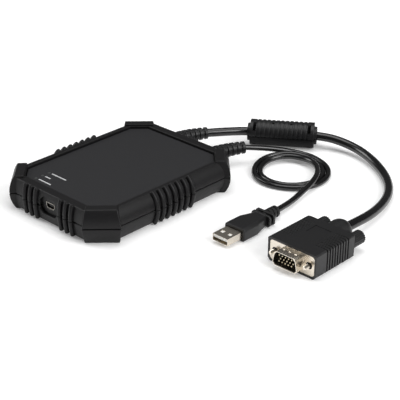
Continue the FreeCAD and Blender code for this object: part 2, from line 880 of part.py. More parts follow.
main_board()
status_lamps()
light_pipes()
node("video_chip", on_board("video_chip", size.video_chip_x, size.video_chip_y,
                            size.video_chip_side, size.video_chip_side, size.chip_tall))
node("interface_chip", on_board("interface_chip", size.usb_chip_x,
                                board_front + size.usb_chip_inset, size.usb_chip_side,
                                size.usb_chip_side, size.chip_tall))
node("memory_chip", on_board("memory_chip", size.memory_x, size.memory_y, size.memory_width,
                             size.memory_length, size.chip_tall))
node("crystal", on_board("crystal", size.crystal_x, board_front + size.crystal_inset,
                         size.crystal_length, size.crystal_width, size.crystal_tall))
capacitors()
lead_set("video", -size.relief_x, size.video_header_width, size.video_lead_radius)
lead_set("usb", size.relief_x, size.usb_header_width, size.usb_lead_radius)
port()


# Strain reliefs and cords
def unit(vector):
    return vector * (1 / vector.Length)


def relief_place(x, distance):
    """Point and direction on a relief's bent middle line, a distance out from the wall."""
    radius = size.relief_length.number / math.radians(size.relief_bend.number)
    angle = distance / radius
    point = Vector(x + radius * (1 - math.cos(angle)), half_length.number + radius * math.sin(angle),
                   size.seam_height.number)
    return point, Vector(math.sin(angle), math.cos(angle), 0)


def strain_relief(name, x):
    """A flange inside the wall, a neck through it, and a tapering bent sleeve of rings."""
    length = size.relief_length.number
    groove = size.relief_groove.number
    ring = size.relief_ring.number
    base_radius = size.relief_base_radius.number
    slope = (size.relief_tip_radius.number - base_radius) / length
    start = relief_place(x, 0)
    middle = relief_place(x, length / 2)
    tip = relief_place(x, length)
    spine = Part.Wire(Part.Arc(start[0], middle[0], tip[0]).toShape())
    sleeve = Part.BRepOffsetAPI.MakePipeShell(spine)
    sleeve.setFrenetMode(True)
    for (point, direction), radius in ((start, base_radius), (tip, base_radius + slope * length)):
        sleeve.add(Part.Wire(Part.Circle(point, direction, radius - groove).toShape()))
    sleeve.build()
    sleeve.makeSolid()
    pieces = []
    for k in range(RELIEF_RINGS):
        distance = (length - ring) * k / (RELIEF_RINGS - 1)
        point, direction = relief_place(x, distance)
        pieces.append(Part.makeCone(base_radius + slope * distance,
                                    base_radius + slope * (distance + ring), ring, point, direction))
    inner = Vector(x, cavity_y.number, size.seam_height.number)
    along = Vector(0, 1, 0)
    pieces.append(Part.makeCylinder(size.relief_neck_radius.number, size.end_wall.number, inner, along))
    pieces.append(Part.makeCylinder(size.relief_flange_radius.number, size.relief_flange.number,
                                    inner - along * size.relief_flange.number, along))
    return shaped(name, sleeve.shape().multiFuse(pieces).removeSplitter())


def tube(name, points, radius):
    """A round cord along straight runs joined by arcs as large as the runs allow."""
    edges = []
    radii = []
    place = points[0]
    for before, corner, after in zip(points, points[1:], points[2:]):
        come = unit(corner - before)
        leave = unit(after - corner)
        turn = come.getAngle(leave)
        reach = ARC_SHARE * min((corner - before).Length, (after - corner).Length)
        arc_radius = reach / math.tan(turn / 2)
        start = corner - come * reach
        end = corner + leave * reach
        middle = corner + unit(leave - come) * (arc_radius * (1 / math.cos(turn / 2) - 1))
        edges.append(Part.LineSegment(place, start).toShape())
        edges.append(Part.Arc(start, middle, end).toShape())
        radii.append(round(arc_radius, 1))
        place = end
    edges.append(Part.LineSegment(place, points[-1]).toShape())
    path = Part.Wire(edges)
    ring = Part.Wire(Part.Circle(points[0], points[1] - points[0], radius).toShape())
    solid = path.makePipeShell([ring], True, True)
    share = solid.Volume / (math.pi * radius ** 2 * path.Length)
    print(f"{name}: length {path.Length:.1f}, volume share {share:.4f}, radii {radii}")
    return shaped(name, solid)


def route(points):
    return [Vector(*point) for point in points]


def usb_cord_coil():
    """The outer shape of the thin cord's loose flat coil: a ring with softened edges."""
    outer = size.coil_outer_radius
    inner = size.coil_inner_radius
    edge = size.coil_edge
    tall = size.usb_cord_radius * 2
    section = [(inner + edge, 0), (outer - edge, 0), (outer, edge), (outer, tall - edge),
               (outer - edge, tall), (inner + edge, tall), (inner, tall - edge), (inner, edge)]
    sketch = outline("coil_outline", [(size.coil_x + across, up) for across, up in section],
                     PLANES["XZ"][0])
    tie(sketch, "Placement.Base.y", size.coil_y)
    ring = turned("usb_cord_coil", sketch, (size.coil_x, size.coil_y, 0), Vector(0, 0, 1), 360)
    return node("usb_cord_coil", ring)


video_axis = size.hood_tall / 2
dome_front = size.hood_length + size.dome_start
video_end = dome_front + size.dome_length
usb_axis = size.usb_hood_tall / 2
wing_start = size.usb_hood_front + size.usb_hood_straight + size.usb_hood_taper
neck_start = wing_start + size.wing_thickness * 2 + size.wing_slot
usb_end = neck_start + size.neck_length
left_tip = relief_place(-size.relief_x.number, size.relief_length.number)[0]
right_tip = relief_place(size.relief_x.number, size.relief_length.number)[0]

strain_relief("video_strain_relief", -size.relief_x.number)
strain_relief("usb_strain_relief", size.relief_x.number)
tube("video_cord",
     [left_tip] + route(VIDEO_ROUTE)
     + [Vector(size.plug_x.number, video_end.number, video_axis.number)],
     size.video_cord_radius.number)
tube("usb_cord_lead", [right_tip] + route(USB_LEAD_ROUTE), size.usb_cord_radius.number)
usb_cord_coil()
tube("usb_cord_tail",
     route(USB_TAIL_ROUTE) + [Vector(size.usb_x.number, usb_end.number, usb_axis.number)],
     size.usb_cord_radius.number)


# Clip-on ferrite, modelled along X about its own axis and then laid on the cord
ferrite_half = size.ferrite_length / 2
ferrite_cavity = size.ferrite_radius - size.ferrite_groove - size.ferrite_wall
ferrite_hinge = size.ferrite_radius + size.hinge_offset


def along_x(name, radius, half, y=0, z=0):
    return rod(name, radius, half * 2, -half, y, z, ALONG_X)


def along_x_pair(name, radius, low, high, y):
    """Two rods along X, from low to high on either side of the middle."""
    return [rod(f"{name}_front", radius, high - low, -high, y, 0, ALONG_X),
            rod(f"{name}_rear", radius, high - low, low, y, 0, ALONG_X)]


def ferrite_slab(name, up):
    """The half space above or below the split."""
    reach = size.ferrite_radius * 2
    side = size.ferrite_length
    z = (size.ferrite_split / 2, reach) if up else (-reach, -size.ferrite_split / 2)
    return block(name, (-side, side), (-reach, reach), z)


def lay(item):
    """Turn and place a finished ferrite piece along its cord."""
    put(item, size.ferrite_x, size.ferrite_y, size.ferrite_radius,
        Rotation(Vector(0, 0, 1), size.ferrite_yaw.number))
    tie(item, "Placement.Rotation.Angle", size.ferrite_yaw)
    return node(item.Name, item)


def ferrite_case(name, up, barrel_radius, *rings):
    """Half of the round case, hollow for the core and bored for the cord."""
    body = fuse(f"{name}_round",
                along_x(f"{name}_barrel", barrel_radius, ferrite_half),
                along_x(f"{name}_collars", size.collar_radius, ferrite_half + size.collar_length),
                *rings)
    hollow = cut(f"{name}_hollow", body,
                 along_x(f"{name}_cavity", ferrite_cavity, ferrite_half - size.ferrite_end_wall),
                 along_x(f"{name}_bore", size.ferrite_bore, size.ferrite_length))
    return common(f"{name}_half", hollow, ferrite_slab(f"{name}_slab", up))


def latch_windows(name, side, z):
    """Two windows through the front of the case near its ends, where its snap hooks sit."""
    middle = ferrite_half - size.latch_inset
    windows = []
    for label, end in (("left", -1), ("right", 1)):
        box = block(f"{name}_{label}_box", span(middle * end, size.latch_width),
                    (-size.ferrite_radius * 2, -side), z)
        core = along_x(f"{name}_{label}_core", ferrite_cavity, ferrite_half)
        windows.append(cut(f"{name}_{label}", box, core))
    return windows


def ferrite_lid():
    """The upper half: grip rings between two plain bands, and the middle of the hinge."""
    rings = [rod(f"lid_ring_{k}", size.ferrite_radius, size.ferrite_ring,
                 size.ferrite_pitch * (k - (FERRITE_RINGS - 1) / 2) - size.ferrite_ring / 2, 0, 0,
                 ALONG_X)
             for k in range(FERRITE_RINGS)]
    bands = along_x_pair("lid_band", size.ferrite_radius, ferrite_half - size.ferrite_band,
                         ferrite_half, 0)
    half = ferrite_case("ferrite_case_lid", True, size.ferrite_radius - size.ferrite_groove,
                        *rings, *bands)
    room = along_x_pair("lid_hinge_room", size.hinge_radius + size.hinge_gap,
                        size.hinge_middle / 2 - size.hinge_gap,
                        size.hinge_length / 2 + size.hinge_gap, ferrite_hinge)
    knuckle = along_x("lid_knuckle", size.hinge_radius, size.hinge_middle / 2 - size.hinge_gap,
                      ferrite_hinge)
    trunnion = along_x("lid_trunnion", size.trunnion_radius, size.hinge_length / 2, ferrite_hinge)
    windows = latch_windows("lid_window", size.latch_side, (size.latch_low, size.latch_high))
    cleared = cut("ferrite_lid_cleared", half, *windows, *room)
    lay(fuse("ferrite_case_upper", cleared, knuckle, trunnion))


def ferrite_base():
    """The lower half: smooth outside, with the ends of the hinge."""
    half = ferrite_case("ferrite_case_base", False, size.ferrite_radius)
    room = along_x("base_hinge_room", size.hinge_radius + size.hinge_gap, size.hinge_middle / 2,
                   ferrite_hinge)
    knuckles = along_x_pair("base_knuckle", size.hinge_radius, size.hinge_middle / 2,
                            size.hinge_length / 2, ferrite_hinge)
    sockets = along_x("base_sockets", size.trunnion_radius + size.trunnion_gap,
                      size.hinge_length / 2 + size.hinge_gap, ferrite_hinge)
    windows = latch_windows("base_window", size.foot_side, (-size.foot_low, -size.foot_high))
    joined = fuse("ferrite_base_joined", cut("ferrite_base_cleared", half, *windows, room), *knuckles)
    lay(cut("ferrite_case_lower", joined, sockets))


def ferrite_core(name, up):
    sleeve = cut(f"{name}_sleeve",
                 along_x(f"{name}_outer", ferrite_cavity, ferrite_half - size.ferrite_end_wall),
                 along_x(f"{name}_bore", size.ferrite_bore, size.ferrite_length))
    lay(common(name, sleeve, ferrite_slab(f"{name}_slab", up)))


ferrite_lid()
ferrite_base()
ferrite_core("ferrite_core_upper", True)
ferrite_core("ferrite_core_lower", False)


# Video plug
def tub_corners(shrink):
    """Section of the plug's shroud: a D shape, wide at the bottom, with clipped corners."""
    wide = size.tub_half_wide - shrink
    narrow = size.tub_half_narrow - shrink
    tall = size.tub_half_tall - shrink
    clip = size.tub_clip
    corners = [(clip - wide, -tall), (wide - clip, -tall), (wide, clip - tall), (narrow, tall - clip),
               (narrow - clip, tall), (clip - narrow, tall), (-narrow, tall - clip), (-wide, clip - tall)]
    return shifted(corners, size.plug_x, video_axis)


jack_places = {"left": size.plug_x - size.screw_spacing / 2, "right": size.plug_x + size.screw_spacing / 2}
plate_back = size.plate_inset + size.plate_thickness


def hood_dome():
    """The round rear of the hood, which closes in on the cord."""
    base = size.hood_length - size.dome_start
    bow = bulge(size.dome_length, size.dome_radius - size.dome_tip_radius)
    profile = [(0, base), (size.dome_radius, base), (size.dome_radius, dome_front, bow),
               (size.dome_tip_radius, video_end), (0, video_end)]
    sketch = outline("dome_outline", [(corner[0] + size.plug_x, *corner[1:]) for corner in profile],
                     PLANES["XY"][0])
    tie(sketch, "Placement.Base.z", video_axis)
    return turned("hood_dome", sketch, (size.plug_x, 0, video_axis), Vector(0, 1, 0), 360)


def plate_corners(margin):
    """The face plate's outline, or the recess for it with a margin all round."""
    return shifted(octagon(size.plate_width / 2 + margin, size.plate_tall / 2 + margin, size.plate_clip),
                   size.plug_x, video_axis)


def video_plug_hood():
    half = size.hood_width / 2
    clipped = half - size.hood_clip
    foot = half - size.hood_foot
    edge = half - size.hood_edge
    shoulder = size.hood_tall - size.hood_edge
    corners = [(foot, 0), (half, size.hood_foot), (half, shoulder), (edge, size.hood_tall),
               (-edge, size.hood_tall), (-half, shoulder), (-half, size.hood_foot), (-foot, 0)]
    section = prism("hood_section", "XZ", shifted(corners, size.plug_x, 0), sized(0), size.hood_length)
    plan = prism("hood_plan", "XY",
                 shifted([(-half, 0), (half, 0), (half, size.hood_length - size.hood_clip),
                          (clipped, size.hood_length), (-clipped, size.hood_length),
                          (-half, size.hood_length - size.hood_clip)], size.plug_x, 0),
                 sized(0), size.hood_tall)
    body = fuse("hood_body", common("hood_box", section, plan), hood_dome())
    cutters = [
        prism("hood_face", "XZ", plate_corners(size.plate_gap), -size.plate_thickness, plate_back),
        prism("hood_core", "XZ", tub_corners(size.tub_skin), sized(0),
              plate_back + size.insulator_length),
        block("hood_crown", span(size.plug_x, size.crown_width),
              (size.crown_start, size.crown_start + size.crown_length),
              (size.hood_tall - size.crown_depth, size.hood_tall + size.crown_depth)),
    ]
    for label, x in jack_places.items():
        cutters.append(rod(f"hood_{label}_bore", size.jack_radius + size.jack_gap,
                           size.hood_length * 2, x, -size.hood_edge, video_axis, ALONG_Y))
    for label, side in (("left", -1), ("right", 1)):
        edge = size.plug_x + half * side
        for k in range(GRIPS):
            y = span(size.grip_start + size.grip_pitch * k, size.grip_width)
            wall = span(edge, size.grip_depth * 2)
            cutters.append(block(f"grip_{label}_{k}", wall, y, (-size.grip_depth, size.hood_tall + 1)))
            cutters.append(block(f"grip_{label}_top_{k}", span(edge, size.grip_wrap * 2), y,
                                 span(size.hood_tall, size.grip_depth)))
    return node("video_plug_hood", cut("video_plug_hood", body, *cutters))


def video_plug_shell():
    """The steel face plate and the shroud drawn out of it."""
    plate = prism("face_plate", "XZ", plate_corners(sized(0)), size.plate_inset, plate_back)
    shroud = prism("shroud", "XZ", tub_corners(sized(0)), -size.tub_reach, plate_back)
    mouth = prism("shroud_mouth", "XZ", tub_corners(size.tub_skin),
                  -size.tub_reach * 2, plate_back + size.plate_thickness)
    holes = [rod(f"face_{label}_hole", size.jack_waist + size.jack_fit, size.plate_thickness * 3, x,
                 size.plate_inset - size.plate_thickness, video_axis, ALONG_Y)
             for label, x in jack_places.items()]
    body = fuse("face_and_shroud", plate, shroud)
    return node("video_plug_shell", cut("video_plug_shell", body, mouth, *holes))


def video_plug_pins():
    """Fifteen pins in three rows; the middle row is set half a pitch to the side."""
    pins = []
    for line in range(3):
        drift = 0.25 if line == 1 else -0.25
        for k in range(PINS_IN_ROW):
            x = size.plug_x + size.pin_pitch * (k - (PINS_IN_ROW - 1) / 2 + drift)
            z = video_axis + size.pin_row * (line - 1)
            pins.append(rod(f"pin_{line}_{k}", size.pin_radius, size.pin_reach + size.insulator_length / 2,
                            x, -size.insulator_face - size.pin_reach, z, ALONG_Y))
    return node("video_plug_pins", group("video_plug_pins", *pins))


def video_plug_insulator(pins):
    core = prism("insulator_core", "XZ", tub_corners(size.tub_skin), -size.insulator_face,
                 plate_back + size.insulator_length)
    return node("video_plug_insulator", cut("video_plug_insulator", core, pins))


def thumbscrew(label, x):
    """A steel shaft, threaded in front of the plate that holds it, pressed into a fluted knob."""
    knob_front = size.hood_length + size.knob_gap
    thread = rod(f"thumbscrew_{label}_thread", size.jack_radius, size.jack_thread, x,
                 -size.jack_reach, video_axis, ALONG_Y)
    shank = rod(f"thumbscrew_{label}_shank", size.jack_waist,
                size.jack_reach + knob_front + size.knob_hold, x, -size.jack_reach, video_axis, ALONG_Y)
    node(f"thumbscrew_{label}_shaft", fuse(f"thumbscrew_{label}_shaft", thread, shank))
    cylinder = rod(f"knob_{label}_round", size.knob_radius, size.knob_length, x, knob_front,
                   video_axis, ALONG_Y)
    cutters = [rod(f"knob_{label}_socket", size.jack_waist, size.knob_hold, x, knob_front,
                   video_axis, ALONG_Y)]
    for k in range(KNOB_FLUTES):
        angle = 2 * math.pi * k / KNOB_FLUTES
        cutters.append(rod(f"knob_{label}_flute_{k}", size.flute_radius, size.knob_length * 2,
                           x + size.knob_radius * math.cos(angle), knob_front - size.knob_gap,
                           video_axis + size.knob_radius * math.sin(angle), ALONG_Y))
    node(f"thumbscrew_{label}_knob", cut(f"thumbscrew_{label}_knob", cylinder, *cutters))


video_plug_hood()
video_plug_shell()
video_plug_insulator(video_plug_pins())
for side_label, jack_x in jack_places.items():
    thumbscrew(side_label, jack_x)


# Type A plug
def usb_section(name, width, tall, clip, y):
    """A clipped rectangle across the type A plug, as a sketch for a loft."""
    corners = shifted(octagon(width / 2, tall / 2, clip), size.usb_x, usb_axis)
    sketch = outline(name, corners, PLANES["XZ"][0])
    tie(sketch, "Placement.Base.y", y)
    return sketch


def usb_slice(name, width, tall, clip, low, high):
    corners = shifted(octagon(width / 2, tall / 2, clip), size.usb_x, usb_axis)
    return prism(name, "XZ", corners, low, high)


shell_front = size.usb_hood_front - size.usb_shell_reach
shell_back = size.usb_hood_front + size.usb_shell_buried


def usb_plug_hood():
    taper_start = size.usb_hood_front + size.usb_hood_straight
    straight = usb_slice("usb_hood_front_part", size.usb_hood_width, size.usb_hood_tall,
                         size.usb_hood_clip, size.usb_hood_front, taper_start)
    waist = doc.addObject("Part::Loft", "usb_hood_waist")
    waist.Sections = [
        usb_section("usb_taper_start", size.usb_hood_width, size.usb_hood_tall,
                    size.usb_hood_clip, taper_start),
        usb_section("usb_taper_end", size.usb_waist_width, size.usb_waist_tall,
                    size.usb_hood_clip, wing_start),
    ]
    waist.Solid = True
    waist.Ruled = True
    pieces = [straight, waist]
    for k in range(2):
        low = wing_start + (size.wing_thickness + size.wing_slot) * k
        pieces.append(usb_slice(f"usb_wing_{k}", size.wing_width, size.wing_tall,
                                size.usb_hood_clip, low, low + size.wing_thickness))
    pieces.append(rod("usb_neck", size.neck_radius, usb_end - wing_start, size.usb_x, wing_start,
                      usb_axis, ALONG_Y))
    for k in range(NECK_RINGS):
        low = neck_start + size.neck_pitch * (k + 1) - size.neck_ring
        pieces.append(rod(f"usb_neck_ring_{k}", size.neck_ring_radius, size.neck_ring, size.usb_x,
                          low, usb_axis, ALONG_Y))
    body = fuse("usb_hood_body", *pieces)
    margin = size.usb_face_gap * 2
    step = block("usb_face_recess", span(size.usb_x, size.usb_shell_width + margin),
                 span(size.usb_hood_front, size.usb_face_step * 2),
                 span(usb_axis, size.usb_shell_tall + margin))
    socket = block("usb_shell_socket", span(size.usb_x, size.usb_shell_width),
                   (size.usb_hood_front - size.usb_face_step, shell_back),
                   span(usb_axis, size.usb_shell_tall))
    return node("usb_plug_hood", cut("usb_plug_hood", body, step, socket))


def usb_plug_shell():
    outer = block("usb_shell_outer", span(size.usb_x, size.usb_shell_width), (shell_front, shell_back),
                  span(usb_axis, size.usb_shell_tall))
    inner = block("usb_shell_inner", span(size.usb_x, size.usb_shell_width - size.usb_shell_skin * 2),
                  (shell_front - size.usb_shell_skin, shell_back + size.usb_shell_skin),
                  span(usb_axis, size.usb_shell_tall - size.usb_shell_skin * 2))
    windows = [block(f"usb_window_{label}", span(size.usb_x + size.usb_window_x * side, size.usb_window),
                     span(shell_front + size.usb_window_y, size.usb_window),
                     span(usb_axis, size.usb_shell_tall * 2))
               for label, side in (("left", -1), ("right", 1))]
    return node("usb_plug_shell", cut("usb_plug_shell", outer, inner, *windows))


def usb_plug_tongue():
    top = usb_axis + size.usb_shell_tall / 2 - size.usb_shell_skin
    low = top - size.usb_tongue_tall
    front = shell_front + size.usb_tongue_inset
    tongue = block("usb_plug_tongue", span(size.usb_x, size.usb_shell_width - size.usb_shell_skin * 2),
                   (front, shell_back), (low, top))
    node("usb_plug_tongue", tongue)
    contacts = []
    for side in (-1, 1):
        for label, offset in (("inner", size.usb_contact_inner), ("outer", size.usb_contact_outer)):
            contacts.append(block(f"usb_contact_{label}_{'left' if side < 0 else 'right'}",
                                  span(size.usb_x + offset * side, size.usb_contact_width),
                                  (front + size.usb_tongue_inset,
                                   front + size.usb_tongue_inset + size.usb_contact_length),
                                  (low - size.usb_contact_tall, low)))
    node("usb_plug_contacts", group("usb_plug_contacts", *contacts))


usb_plug_hood()
usb_plug_shell()
usb_plug_tongue()

doc.recompute()
for item in doc.Objects:
    if "Invalid" in item.State or "Error" in item.State:
        raise RuntimeError(f"{item.Name} failed: {item.State}")
for name, item in nodes.items():
    if item.Shape.isNull() or not item.Shape.isValid():
        raise RuntimeError(f"{name} has no valid shape")
os.makedirs("parts", exist_ok=True)
for name, item in nodes.items():
    item.Shape.exportStep(f"parts/{name}.step")
    solids = item.Shape.Solids
    volume = sum(solid.Volume for solid in solids)
    print(f"{name}: {len(solids)} solids, {volume:.1f} cubic millimetres")
print(f"{len(nodes)} nodes")
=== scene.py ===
# %% Load the frame
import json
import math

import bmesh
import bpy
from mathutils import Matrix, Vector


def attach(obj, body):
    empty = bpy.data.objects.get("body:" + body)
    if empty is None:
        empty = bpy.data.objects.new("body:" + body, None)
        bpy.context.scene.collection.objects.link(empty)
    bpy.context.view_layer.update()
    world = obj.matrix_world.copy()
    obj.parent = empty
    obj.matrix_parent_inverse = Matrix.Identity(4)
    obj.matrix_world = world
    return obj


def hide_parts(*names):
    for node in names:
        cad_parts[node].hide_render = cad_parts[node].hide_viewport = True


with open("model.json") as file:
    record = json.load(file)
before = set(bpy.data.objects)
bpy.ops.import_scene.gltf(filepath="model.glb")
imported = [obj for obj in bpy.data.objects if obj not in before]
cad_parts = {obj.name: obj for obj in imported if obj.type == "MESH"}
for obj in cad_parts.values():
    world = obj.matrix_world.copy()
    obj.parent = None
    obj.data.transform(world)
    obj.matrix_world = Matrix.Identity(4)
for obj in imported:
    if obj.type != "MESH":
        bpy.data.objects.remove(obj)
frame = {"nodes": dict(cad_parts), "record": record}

# %% [markdown]
# The adapter is a small black box with thick corner guards. A mini port sits in one end, and two cords
# leave the other: a thick one with a 15-pin video plug, and a thin coiled one with a type A plug.
# The CAD frame already has every piece in its place, in metres. This lesson rebuilds what the eye sees
# with rounded edges and real finishes, and keeps the hidden pieces as they are. The real sizes are easier
# to read in millimetres, so one small helper turns them into metres.

MM = 0.001
scene = bpy.context.scene
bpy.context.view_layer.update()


def mm(x, y, z):
    return Vector((x, y, z)) * MM


# %% [markdown]
# The photograph looks down on one corner of the box from a little way off. A camera can be placed by eye,
# but turning it round a point on the table by two angles and a distance is easier to explain and to mend.
# The long lens keeps the far plugs nearly as large as the near ones, as a product photograph does.

# %% Camera at the photograph's view
VIEW_TARGET = mm(43.0, 27.4, 0)
VIEW_AZIMUTH = math.radians(43.8)
VIEW_ELEVATION = math.radians(27.05)
VIEW_DISTANCE = 745 * MM

back = Vector((math.sin(VIEW_AZIMUTH) * math.cos(VIEW_ELEVATION),
               -math.cos(VIEW_AZIMUTH) * math.cos(VIEW_ELEVATION),
               math.sin(VIEW_ELEVATION)))
camera = bpy.data.objects.new("photo_camera", bpy.data.cameras.new("photo_camera"))
camera.data.lens = 104.95
camera.data.sensor_width = 36
camera.data.clip_start = 0.01
camera.location = VIEW_TARGET + back * VIEW_DISTANCE
camera.rotation_euler = back.to_track_quat("Z", "Y").to_euler()
scene.collection.objects.link(camera)
scene.camera = camera
print("camera at", [round(value, 3) for value in camera.location])

# %% [markdown]
# The box stands on a white table under soft boxes, so its shadows are faint and close to it. A bright world
# would do for the light, but then every black top would mirror it and turn grey. A dim room with three large
# area lights keeps the tops black and draws highlights along ribs and cords. The floor is one big square with
# a faint glow, so that it stays white to the edge of the picture.

# %% Floor, world and soft boxes
FLOOR_HALF_SIDE = 4
FLOOR_DROP = 0.05
FLOOR_GLOW = 0.16
ROOM_LIGHT = 0.12


def soft_box(name, place, side, power):
    """A square light that faces the middle of the scene."""
    light = bpy.data.lights.new(name, "AREA")
    light.shape = "SQUARE"
    light.size = side
    light.energy = power
    lamp = bpy.data.objects.new(name, light)
    lamp.location = place
    lamp.rotation_euler = (lamp.location - VIEW_TARGET).to_track_quat("Z", "Y").to_euler()
    scene.collection.objects.link(lamp)


bm = bmesh.new()
bmesh.ops.create_grid(bm, x_segments=1, y_segments=1, size=FLOOR_HALF_SIDE)
bmesh.ops.translate(bm, verts=bm.verts, vec=mm(0, 0, -FLOOR_DROP))
floor_mesh = bpy.data.meshes.new("floor")
bm.to_mesh(floor_mesh)
bm.free()
floor = bpy.data.objects.new("floor", floor_mesh)
floor_paint = bpy.data.materials.new("white_table")
floor_paint.use_nodes = True
floor_shader = floor_paint.node_tree.nodes["Principled BSDF"]
floor_shader.inputs["Base Color"].default_value = (0.92, 0.92, 0.92, 1)
floor_shader.inputs["Roughness"].default_value = 0.8
floor_shader.inputs["Specular IOR Level"].default_value = 0.1
floor_shader.inputs["Emission Color"].default_value = (1, 1, 1, 1)
floor_shader.inputs["Emission Strength"].default_value = FLOOR_GLOW
floor_mesh.materials.append(floor_paint)
scene.collection.objects.link(floor)

world = bpy.data.worlds.new("dim_room")
world.use_nodes = True
world.node_tree.nodes["Background"].inputs["Color"].default_value = (1, 1, 1, 1)
world.node_tree.nodes["Background"].inputs["Strength"].default_value = ROOM_LIGHT
scene.world = world
scene.view_settings.view_transform = "Standard"

soft_box("soft_box_above", (0.0, 0.12, 1.1), 0.9, 7.5)
soft_box("soft_box_right", (1.0, 0.2, 0.7), 0.7, 10)
soft_box("soft_box_left", (-0.97, -0.42, 0.6), 0.7, 7)
print("stage set")

# %% [markdown]
# Nearly everything here is black plastic, so small differences of gloss and grain tell the pieces apart.
# An image could hold the grain, but noise on Object coordinates has no seams and no size limit. One helper
# makes a plain finish, a second adds the grain as a bump, and each grained finish has its own function.

# %% Helpers for finishes
def plain_finish(name, colour, roughness, metallic=0.0, specular=0.5):
    """A material of one colour; its shader's sockets hold the values."""
    finish = bpy.data.materials.new(name)
    finish.use_nodes = True
    shader = finish.node_tree.nodes["Principled BSDF"]
    shader.inputs["Base Color"].default_value = (*colour, 1)
    shader.inputs["Roughness"].default_value = roughness
    shader.inputs["Metallic"].default_value = metallic
    shader.inputs["Specular IOR Level"].default_value = specular
    return finish


def add_grain(finish, grain_size, height):
    """Give a finish a fine pebble grain; both values are in millimetres."""
    nodes = finish.node_tree.nodes
    links = finish.node_tree.links
    place = nodes.new("ShaderNodeTexCoord")
    noise = nodes.new("ShaderNodeTexNoise")
    noise.inputs["Scale"].default_value = 1 / (grain_size * MM)
    noise.inputs["Detail"].default_value = 3
    bump = nodes.new("ShaderNodeBump")
    bump.inputs["Distance"].default_value = height * MM
    links.new(place.outputs["Object"], noise.inputs["Vector"])
    links.new(noise.outputs["Fac"], bump.inputs["Height"])
    links.new(bump.outputs["Normal"], nodes["Principled BSDF"].inputs["Normal"])
    return finish


# %% Finishes of plastic, rubber and cord
def housing_black():
    finish = plain_finish("housing_black", (0.005, 0.0047, 0.0052), 0.47, specular=0.29)
    return add_grain(finish, 0.5, 0.045)


def panel_grey():
    finish = plain_finish("panel_grey", (0.0165, 0.0165, 0.018), 0.55, specular=0.32)
    return add_grain(finish, 0.6, 0.07)


def relief_rubber():
    finish = plain_finish("relief_rubber", (0.004, 0.004, 0.0045), 0.42, specular=0.38)
    return add_grain(finish, 0.4, 0.015)


def cord_black():
    finish = plain_finish("cord_black", (0.003, 0.003, 0.0034), 0.22, specular=0.6)
    return add_grain(finish, 0.6, 0.008)


def hood_black():
    finish = plain_finish("hood_black", (0.0045, 0.0045, 0.005), 0.42, specular=0.5)
    return add_grain(finish, 0.35, 0.012)


def ferrite_shell_black():
    finish = plain_finish("ferrite_shell_black", (0.0065, 0.0065, 0.007), 0.43, specular=0.38)
    return add_grain(finish, 0.4, 0.008)


FINISHES = {
    "housing": housing_black(),
    "panel": panel_grey(),
    "relief": relief_rubber(),
    "cord": cord_black(),
    "plug_hood": hood_black(),
    "ferrite_case": ferrite_shell_black(),
    "black_insulator": plain_finish("insulator_black", (0.008, 0.008, 0.009), 0.45, specular=0.3),
    "white_insulator": plain_finish("insulator_white", (0.8, 0.79, 0.75), 0.4),
    "chip": plain_finish("chip_epoxy", (0.02, 0.02, 0.021), 0.6),
    "header": plain_finish("header_nylon", (0.78, 0.75, 0.66), 0.5),
    "lead": plain_finish("inner_lead_grey", (0.12, 0.12, 0.13), 0.45),
    "lamp": plain_finish("lamp_resin", (0.5, 0.6, 0.2), 0.3),
    "light_pipe": plain_finish("light_pipe_clear", (0.05, 0.053, 0.052), 0.35),
    # The cores are dark ferrite, made darker still as painted shade where they show through the latch
    # windows.
    "ferrite": plain_finish("sintered_ferrite_and_painted_shade", (0.003, 0.003, 0.003), 0.8, specular=0.05),
}
print("plastic finishes:", sorted(FINISHES))


# %% Finishes of metal and board
# The pins' gold is painted: a highlight at the tips up to the first depth, and shade from the second depth
# on.
PIN_PAINTED_HIGHLIGHT_TO = -4.8
PIN_PAINTED_SHADE_FROM = -4.3


def brushed_nickel():
    finish = plain_finish("brushed_nickel", (0.72, 0.66, 0.57), 0.26, metallic=1.0)
    return add_grain(finish, 0.25, 0.0005)


def board_green():
    return add_grain(plain_finish("board_green", (0.015, 0.11, 0.045), 0.35), 1.2, 0.01)


def pin_gold_with_painted_light():
    """Gold with a painted highlight at the pins' tips and painted shade further in, where the shroud shades
    them.
    """
    finish = plain_finish("pin_gold_with_painted_light", (0.75, 0.58, 0.32), 0.35, metallic=1.0)
    nodes = finish.node_tree.nodes
    links = finish.node_tree.links
    place = nodes.new("ShaderNodeTexCoord")
    parts = nodes.new("ShaderNodeSeparateXYZ")
    depth = nodes.new("ShaderNodeMapRange")
    depth.inputs["From Min"].default_value = PIN_PAINTED_HIGHLIGHT_TO * MM
    depth.inputs["From Max"].default_value = PIN_PAINTED_SHADE_FROM * MM
    # The bright colour is the painted highlight at the tips, and the dark one is the painted shade inside the
    # shroud.
    painted_light_mix = nodes.new("ShaderNodeMix")
    painted_light_mix.data_type = "RGBA"
    painted_light_mix.inputs["A"].default_value = (0.9, 0.78, 0.55, 1)
    painted_light_mix.inputs["B"].default_value = (0.06, 0.045, 0.025, 1)
    links.new(place.outputs["Object"], parts.inputs["Vector"])
    links.new(parts.outputs["Y"], depth.inputs["Value"])
    links.new(depth.outputs["Result"], painted_light_mix.inputs["Factor"])
    links.new(painted_light_mix.outputs["Result"], nodes["Principled BSDF"].inputs["Base Color"])
    return finish


FINISHES["nickel"] = brushed_nickel()
FINISHES["board"] = board_green()
FINISHES["zinc_screw"] = plain_finish("zinc_screw", (0.55, 0.56, 0.58), 0.35, metallic=1.0)
FINISHES["gold_contact"] = plain_finish("gold_contact", (0.75, 0.58, 0.32), 0.3, metallic=1.0)
FINISHES["can"] = plain_finish("drawn_can", (0.6, 0.6, 0.62), 0.3, metallic=1.0)
print("all finishes:", len(FINISHES))

